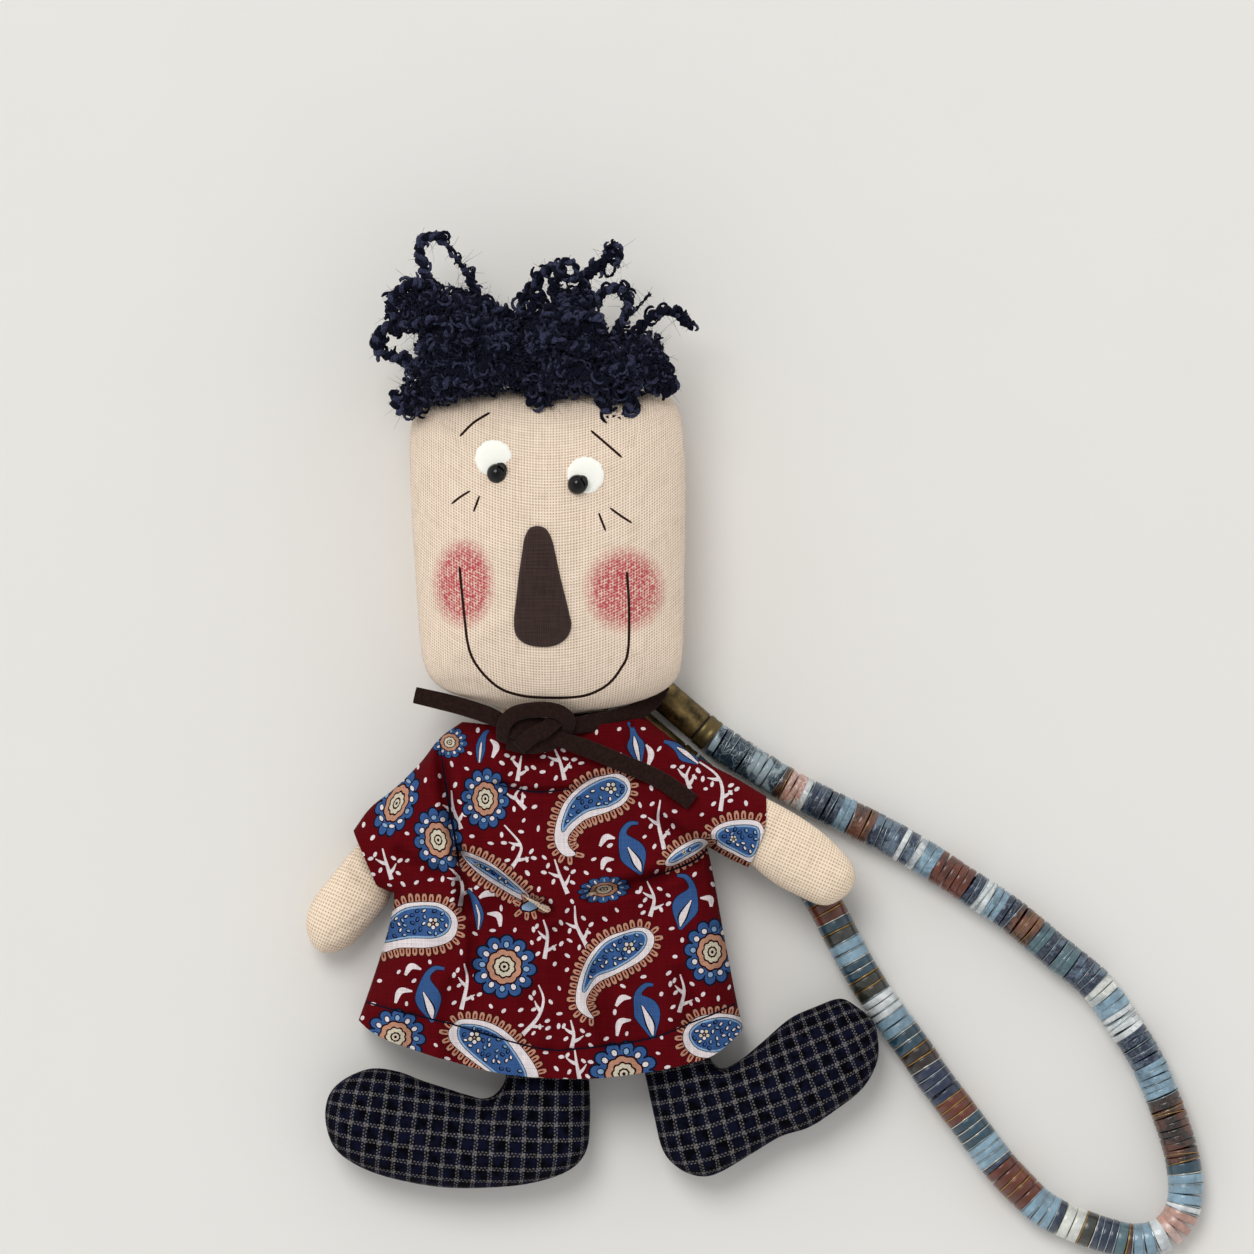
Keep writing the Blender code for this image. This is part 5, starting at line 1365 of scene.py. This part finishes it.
def yarn(builder, line, radius, dice, curls=1.0):
    """Two plies twisted round each other, thick and thin, with small curls and stray hairs."""
    line = resample(line, YARN_STEP)
    count = len(line)
    heading = headings(line)
    across = unit(np.cross(heading, (0.05, 0.03, 1.0)))
    above = np.cross(across, heading)
    along = np.arange(count) * YARN_STEP
    knob = sum(np.sin(along * f + dice.uniform(0, 6)) for f in (1.3, 2.9, 4.7)) / 3
    turn = along * 2 * math.pi / YARN_TWIST + dice.uniform(0, 6) + 0.9 * knob
    for ply in (0.0, math.pi):
        sway = radius * (0.52 + 0.22 * knob)
        centre = line + across * (np.cos(turn + ply) * sway)[:,
                None] + above * (np.sin(turn + ply) * sway)[:, None]
        builder.tube(centre, radius * (0.5 + 0.22 * np.roll(knob, int(ply * 3))), 5,
                     pick=0 if ply else dice.randrange(2))
    for _ in range(int(count * YARN_STEP * 1.5 * curls)):
        k = dice.randrange(count)
        angle = dice.uniform(0, 2 * math.pi)
        out = across[k] * math.cos(angle) + above[k] * math.sin(angle)
        curl(builder, line[k] + out * radius * 0.7, radius * dice.uniform(0.5, 0.95), radius * 0.28, dice)
    for _ in range(int(count * YARN_STEP * 3.0 * curls)):
        k = dice.randrange(count)
        angle = dice.uniform(0, 2 * math.pi)
        out = across[k] * math.cos(angle) + above[k] * math.sin(angle)
        stray(builder, line[k] + out * radius * 0.6, out, dice)


def curl(builder, centre, size, thick, dice):
    """A small open loop of one ply."""
    tilt, lean = dice.uniform(-0.9, 0.9), dice.uniform(-0.9, 0.9)
    u = np.array((math.cos(tilt), 0.0, math.sin(tilt)))
    v = np.array((0.0, math.cos(lean), math.sin(lean)))
    start, sweep = dice.uniform(0, 2 * math.pi), dice.uniform(2.4, 6.0)
    angles = start + np.linspace(0, sweep, 9)
    sizes = size * np.linspace(1.0, dice.uniform(0.4, 1.5), 9)
    drift = np.array([dice.uniform(-1, 1) for _ in range(3)]) * size * 1.3
    centre = centre + np.linspace(-0.5, 0.5, 9)[:, None] * drift
    line = centre + u * (np.cos(angles) * sizes)[:, None] + v * (np.sin(angles) * sizes)[:, None]
    builder.tube(line, thick * np.array(CURL_SHAPE), 5, False, 1 if dice.random() < 0.42 else 0)


def stray(builder, start, way, dice):
    """A very fine loose hair."""
    bend = np.array([dice.uniform(-1, 1) for _ in range(3)])
    length = dice.uniform(0.5, 1.3) * dice.choice((1.0, 1.0, 1.9))
    line = [start + way * length * t + bend * length * t * t * 0.9 for t in (0.0, 0.35, 0.7, 1.0)]
    builder.tube(line, (0.035, 0.03, 0.025, 0.015), 3, False, dice.randrange(2))


LEFT_MASS = plan([(402, 410), (405, 392), (415, 372), (424, 356), (422, 338), (408, 326), (396, 320),
                  (396, 306), (408, 294), (430, 290), (458, 293), (484, 303), (508, 318), (526, 336),
                  (530, 362), (526, 384), (500, 390), (468, 396), (440, 404), (418, 411)])
RIGHT_MASS = plan([(518, 340), (524, 318), (538, 322), (550, 308), (564, 294), (582, 288), (592, 298),
                   (597, 316), (604, 333), (618, 344), (634, 337), (650, 336), (660, 350), (664, 370),
                   (662, 384), (646, 392), (634, 398), (612, 402), (582, 394), (556, 400), (534, 400),
                   (522, 388), (515, 372)])


def mass(builder, polygon, seed, yarns, curls, strays):
    """Yarn that wanders in loops, and small curls, all through and over an area."""
    dice = random.Random(seed)
    low, high = polygon.min(axis=0), polygon.max(axis=0)
    centre = polygon.mean(axis=0)
    ends = np.roll(polygon, -1, axis=0)

    def lump(at):
        return 1.1 * math.sin(at[0] * 0.62 + seed) * math.sin(at[1] * 0.74 + seed * 0.7) - 0.5

    def pick():
        while True:
            at = np.array([dice.uniform(low[k], high[k]) for k in range(2)])
            if inside(at[None], polygon)[0]:
                off, away = nearest(at[None], polygon, ends)
                return at, float(rolled(off / 4.6)[0]), away[0]

    for _ in range(yarns):
        at = pick()[0]
        angle = dice.uniform(0, 2 * math.pi)
        line = []
        for _ in range(dice.randrange(6, 11)):
            off, _ = nearest(at[None], polygon, ends)
            share = float(rolled(off / 4.6)[0])
            line.append((at[0], at[1], HAIR_Z + (5.0 + lump(at)) * share + dice.uniform(-1.2, 0.8)))
            angle += dice.uniform(-1.3, 1.3)
            step = dice.uniform(1.6, 3.0)
            ahead = at + np.array((math.cos(angle), math.sin(angle))) * step
            if not inside(ahead[None], polygon)[0]:
                to = centre - at
                angle = math.atan2(to[1], to[0]) + dice.uniform(-0.8, 0.8)
                ahead = at + np.array((math.cos(angle), math.sin(angle))) * step
            at = ahead
        yarn(builder, smooth(line, steps=8), dice.uniform(0.6, 1.0), dice, 0.25)
    for k in range(curls):
        at, share, _ = pick()
        up = 1 if k % 5 else -1
        z = HAIR_Z + up * ((5.4 + lump(at)) * share + dice.uniform(-0.9, 0.6))
        curl(builder, np.array((at[0], at[1], z)), dice.uniform(0.4, 1.0), dice.uniform(0.17, 0.3), dice)
    for _ in range(strays):
        at, share, away = pick()
        out = -away if dice.random() < 0.6 else away
        spot = at + away * (-0.3)
        stray(builder, np.array((spot[0], spot[1], HAIR_Z + 5.9 * share)),
              np.array((out[0], out[1], 0.6)) / 1.17, dice)
    for a, b in zip(polygon, ends):
        for _ in range(max(1, int(np.linalg.norm(b - a) * 3.2))):
            at = a + (b - a) * dice.random()
            out = np.array(((b - a)[1], (a - b)[0]))
            out = out / np.linalg.norm(out) * (1 if area_of(polygon) > 0 else -1)
            spot = at + out * dice.uniform(-0.9, 0.5)
            centre = np.array((*spot, HAIR_Z + dice.uniform(-3.4, 3.4)))
            curl(builder, centre, dice.uniform(0.4, 0.95), dice.uniform(0.18, 0.3), dice)
            stray(builder, np.array((*spot, HAIR_Z + dice.uniform(-3, 4))), np.array((*out, 0.1)), dice)


def even(count, first, middle, last):
    """Heights for a loop that rises or falls from its ends to its middle."""
    share = np.arange(count) / (count - 1)
    return first + (last - first) * share + (middle - (first + last) / 2) * np.sin(math.pi * share)


def tuft(name, node, polygon, seed, loops):
    """A near-black core that is painted shade in the gaps of the yarn, the mass of yarn round it and the
    loops that stand out of it.
    """
    shape = Builder()
    polygon = resample(smooth(polygon, closed=True), 0.7, closed=True)
    # The core is two near-black sheets under the yarn: painted shade that shows between the loops.
    core_edge = shrink(polygon, 1.1)
    core, faces = triangulate(core_edge, 1.2, (), (0.4, 1.2))
    used, fresh = np.unique(faces, return_inverse=True)
    core, faces = core[used], fresh.reshape(faces.shape)
    off, _ = nearest(core, core_edge, np.roll(core_edge, -1, axis=0))
    share = rolled(off / 5.0)
    bumps = 0.5 * waves(core, 2.4, seed)
    shape.add(np.column_stack((core, HAIR_Z + 4.2 * share + bumps * share)), faces, 2)
    shape.add(np.column_stack((core, HAIR_Z - 5.2 * share)), faces[:, ::-1], 2)
    mass(shape, polygon, seed, yarns=34, curls=560, strays=1300)
    dice = random.Random(seed + 1)
    for points, heights, radius in loops:
        line = np.column_stack((plan(points), even(len(points), *heights)))
        yarn(shape, smooth(line, steps=8), radius, dice)
    return part(shape.store(name, yarn_colours), "yarn", node)


LEFT_LOOPS = (
    ([(440, 300), (431, 285), (424, 268), (420, 250), (425, 241), (436, 237), (444, 242)], (18, 16, 16),
     1.05),
    ([(440, 240), (452, 252), (462, 268), (470, 280), (478, 296), (481, 308)], (16, 16, 18), 0.62),
    ([(474, 272), (472, 284), (476, 298), (480, 312)], (16, 17, 18), 0.8),
    ([(415, 322), (398, 326), (383, 332), (377, 344), (383, 354), (398, 359), (412, 364), (424, 368)],
     (18, 16, 17), 1.15),
    ([(392, 320), (394, 302), (404, 290), (418, 286), (432, 294)], (19, 20, 19), 1.1),
    ([(470, 308), (486, 307), (504, 315), (520, 330)], (20, 20, 18), 1.05),
    ([(396, 392), (399, 408), (408, 413), (418, 409), (426, 400)], (18, 19, 18), 1.0),
    ([(404, 330), (430, 322), (452, 330), (440, 346), (416, 350)], (22, 23.2, 22), 0.9),
    ([(452, 310), (470, 322), (494, 330), (512, 350)], (22, 23.0, 21), 0.9),
    ([(428, 392), (452, 384), (478, 376), (504, 372)], (21, 22.4, 21), 0.95),
    ([(468, 388), (488, 364), (500, 340)], (22, 23.0, 21), 0.9))
RIGHT_LOOPS = (
    ([(524, 332), (521, 316), (525, 298), (536, 284), (548, 272), (560, 268)], (17, 17, 19), 1.05),
    ([(530, 326), (532, 310), (540, 298), (546, 310), (542, 322)], (18, 18, 18), 1.1),
    ([(578, 276), (574, 266), (564, 264), (560, 272), (566, 280), (578, 282), (584, 274)], (19, 20, 19),
     0.75),
    ([(583, 294), (584, 280), (596, 270), (606, 262), (612, 252), (616, 250)], (18, 17, 17), 1.1),
    ([(606, 256), (612, 248), (619, 252), (619, 262), (612, 266)], (17, 17.6, 17), 0.85),
    ([(604, 266), (606, 278), (613, 276), (616, 266)], (17, 16, 17), 0.3),
    ([(560, 300), (553, 288), (560, 276)], (18, 19, 18), 1.0),
    ([(592, 308), (602, 296), (620, 290), (629, 302), (625, 318), (616, 332), (614, 344)], (19, 20, 19),
     1.0),
    ([(616, 342), (627, 320), (638, 309), (650, 295)], (19, 18, 16), 0.3),
    ([(628, 338), (645, 325), (658, 314), (674, 314), (686, 322), (692, 328)], (19, 18, 15), 0.95),
    ([(652, 350), (660, 366), (672, 386), (656, 392)], (19, 19, 18), 1.1),
    ([(600, 398), (606, 414), (618, 420), (629, 410), (626, 396)], (19, 19, 19), 1.1),
    ([(526, 386), (532, 400), (544, 403), (554, 392)], (19, 20, 19), 1.1),
    ([(545, 312), (566, 322), (590, 318), (604, 334)], (22, 23.2, 22), 0.95),
    ([(532, 350), (552, 340), (574, 350), (596, 346)], (22, 23.4, 22), 0.95),
    ([(556, 382), (580, 374), (606, 382), (632, 372)], (21, 22.8, 21), 0.95))
tuft("hair_yarn_left", "hair_tuft_left", LEFT_MASS, 71, LEFT_LOOPS)
tuft("hair_yarn_right", "hair_tuft_right", RIGHT_MASS, 83, RIGHT_LOOPS)

# Lace

suede = grained("suede_lace", srgb(24, 14, 12), srgb(48, 31, 27), (1900.0, 5.0, 0.7), (0.3, 0.8), 0.08,
                0.95,
                **{"Sheen Weight": 0.05})

LACE_THICK = 0.9
LACE_SIDES = 20


def spread_over(count, values):
    """`count` numbers that run evenly through the given ones."""
    return np.interp(np.linspace(0, 1, count), np.linspace(0, 1, len(values)), values)


def ribbon(builder, line, width, lean=(0, 0), pinch=(1, 1)):
    """A flat lace along a 3D line; `lean` tilts it, in degrees, and `pinch` narrows it along its length."""
    line = resample(smooth(line, steps=8), 0.4)
    count = len(line)
    heading = headings(line)
    side = unit(np.cross(heading, (0.0, 0.0, 1.0)))
    up = np.cross(side, heading)
    tilt = np.radians(spread_over(count, lean))
    across = side * np.cos(tilt)[:, None] + up * np.sin(tilt)[:, None]
    above = -side * np.sin(tilt)[:, None] + up * np.cos(tilt)[:, None]
    widths = width * spread_over(count, pinch)
    angles = np.arange(LACE_SIDES) * 2 * math.pi / LACE_SIDES
    c, s = np.cos(angles), np.sin(angles)
    ring = np.column_stack((np.sign(c) * np.abs(c) ** 0.35 * 0.5, np.sign(s) * np.abs(s) ** 0.6 * 0.5))
    points = (line[:, None] + across[:, None] * (ring[None, :, 0:1] * widths[:, None, None])
              + above[:, None] * (ring[None, :, 1:2] * LACE_THICK)).reshape(-1, 3)
    builder.add(points, [f[::-1] for f in hoops(count, LACE_SIDES, True)])


lace = Builder()
for points, heights, width, lean, pinch in (
        ([(514, 726), (490, 715), (462, 706), (438, 700), (416, 695)], (17.6, 17.2, 15.2, 13.6, 12.2), 2.9,
         (0, 0), (0.7, 1, 1, 1, 0.95)),
        ([(548, 730), (575, 725), (606, 720), (634, 712), (652, 700), (662, 684)],
         (18.0, 16.9, 14.6, 12.2, 10.2, 9.0), 3.0, (10, -6, -12), (0.75, 1, 1, 1)),
        ([(542, 728), (560, 738), (588, 748), (622, 762), (660, 779), (692, 801)],
         (18.2, 18.6, 18.3, 18.1, 17.7, 17.3), 2.9, (0, 0), (0.7, 1, 1, 1, 1)),
        ([(503, 740), (505, 724), (516, 713), (538, 709), (558, 711), (569, 720), (566, 734)],
         (17.4, 19.2, 19.8, 20.0, 20.0, 19.2, 17.6), 2.6, (28, 12, 28), (0.8, 1, 1, 1, 0.8)),
        ([(506, 728), (522, 729), (542, 728), (562, 730)], (17.8, 18.6, 18.8, 18.2), 3.4, (0, 0),
         (0.8, 1.1, 1.1, 0.8)),
        ([(508, 741), (528, 745), (550, 742), (566, 732)], (17.2, 18.2, 18.4, 17.4), 2.7, (-20, -8, -20),
         (1, 1)),
        ([(520, 747), (532, 736), (548, 727), (560, 716)], (18.4, 19.8, 20.1, 19.0), 2.6, (0, 0), (1, 1))):
    ribbon(lace, np.column_stack((plan(points), heights)), width, lean, pinch)
part(lace.store("lace_suede", [suede]), "lace", "neck_lace")

# What keeps its CAD shape

thread_finish = plain("loop_thread", srgb(60, 40, 34), 0.85, 0.0, 0.35, 2400.0, 0.08)
for node, material in (("oval_ring", brass), ("hang_loop", thread_finish)):
    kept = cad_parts[node]
    kept.data.materials.clear()
    kept.data.materials.append(material)

# Table, light and picture

FLOOR_REACH = 3
floor_mesh = bpy.data.meshes.new("floor")
floor_mesh.from_pydata([(x * FLOOR_REACH, y * FLOOR_REACH, 0) for x,
                        y in ((-1, -1), (1, -1), (1, 1), (-1, 1))],
                       [], [(0, 1, 2, 3)])
floor = bpy.data.objects.new("floor", floor_mesh)
floor.location.z = -0.0001
scene.collection.objects.link(floor)
floor_mesh.materials.append(plain("table", srgb(227, 225, 221), 0.7, 0.0, 0.01, 60.0, 0.0))


LAMP_PLACE = (-1.1, 2.1, 3.75)
LAMP_AIM = (0.01, 0.04, 0)
LAMP_SIZE = 2.3
LAMP_POWER = 85.0
SKY_AT_HORIZON = 1.08
SKY_OVERHEAD = 0.48
lamp_data = bpy.data.lights.new("key", "AREA")
lamp_data.shape = "DISK"
lamp_data.size = LAMP_SIZE
lamp_data.energy = LAMP_POWER
lamp_data.color = (1.0, 0.99, 0.97)
lamp = bpy.data.objects.new("key", lamp_data)
lamp.location = LAMP_PLACE
lamp.rotation_euler = (Vector(LAMP_AIM) - lamp.location).to_track_quat("-Z", "Y").to_euler()
scene.collection.objects.link(lamp)
world = bpy.data.worlds.new("even_room")
scene.world = world
world.use_nodes = True
sky = world.node_tree
sky_way = sky.nodes.new("ShaderNodeSeparateXYZ")
sky.links.new(sky.nodes.new("ShaderNodeTexCoord").outputs["Generated"], sky_way.inputs[0])
sky_level = sky.nodes.new("ShaderNodeMapRange")
sky_level.inputs["To Min"].default_value = SKY_AT_HORIZON
sky_level.inputs["To Max"].default_value = SKY_OVERHEAD
sky.links.new(sky_way.outputs[2], sky_level.inputs["Value"])
sky.nodes["Background"].inputs["Color"].default_value = (1.0, 1.0, 1.0, 1.0)
sky.links.new(sky_level.outputs[0], sky.nodes["Background"].inputs["Strength"])
scene.view_settings.view_transform = "Standard"
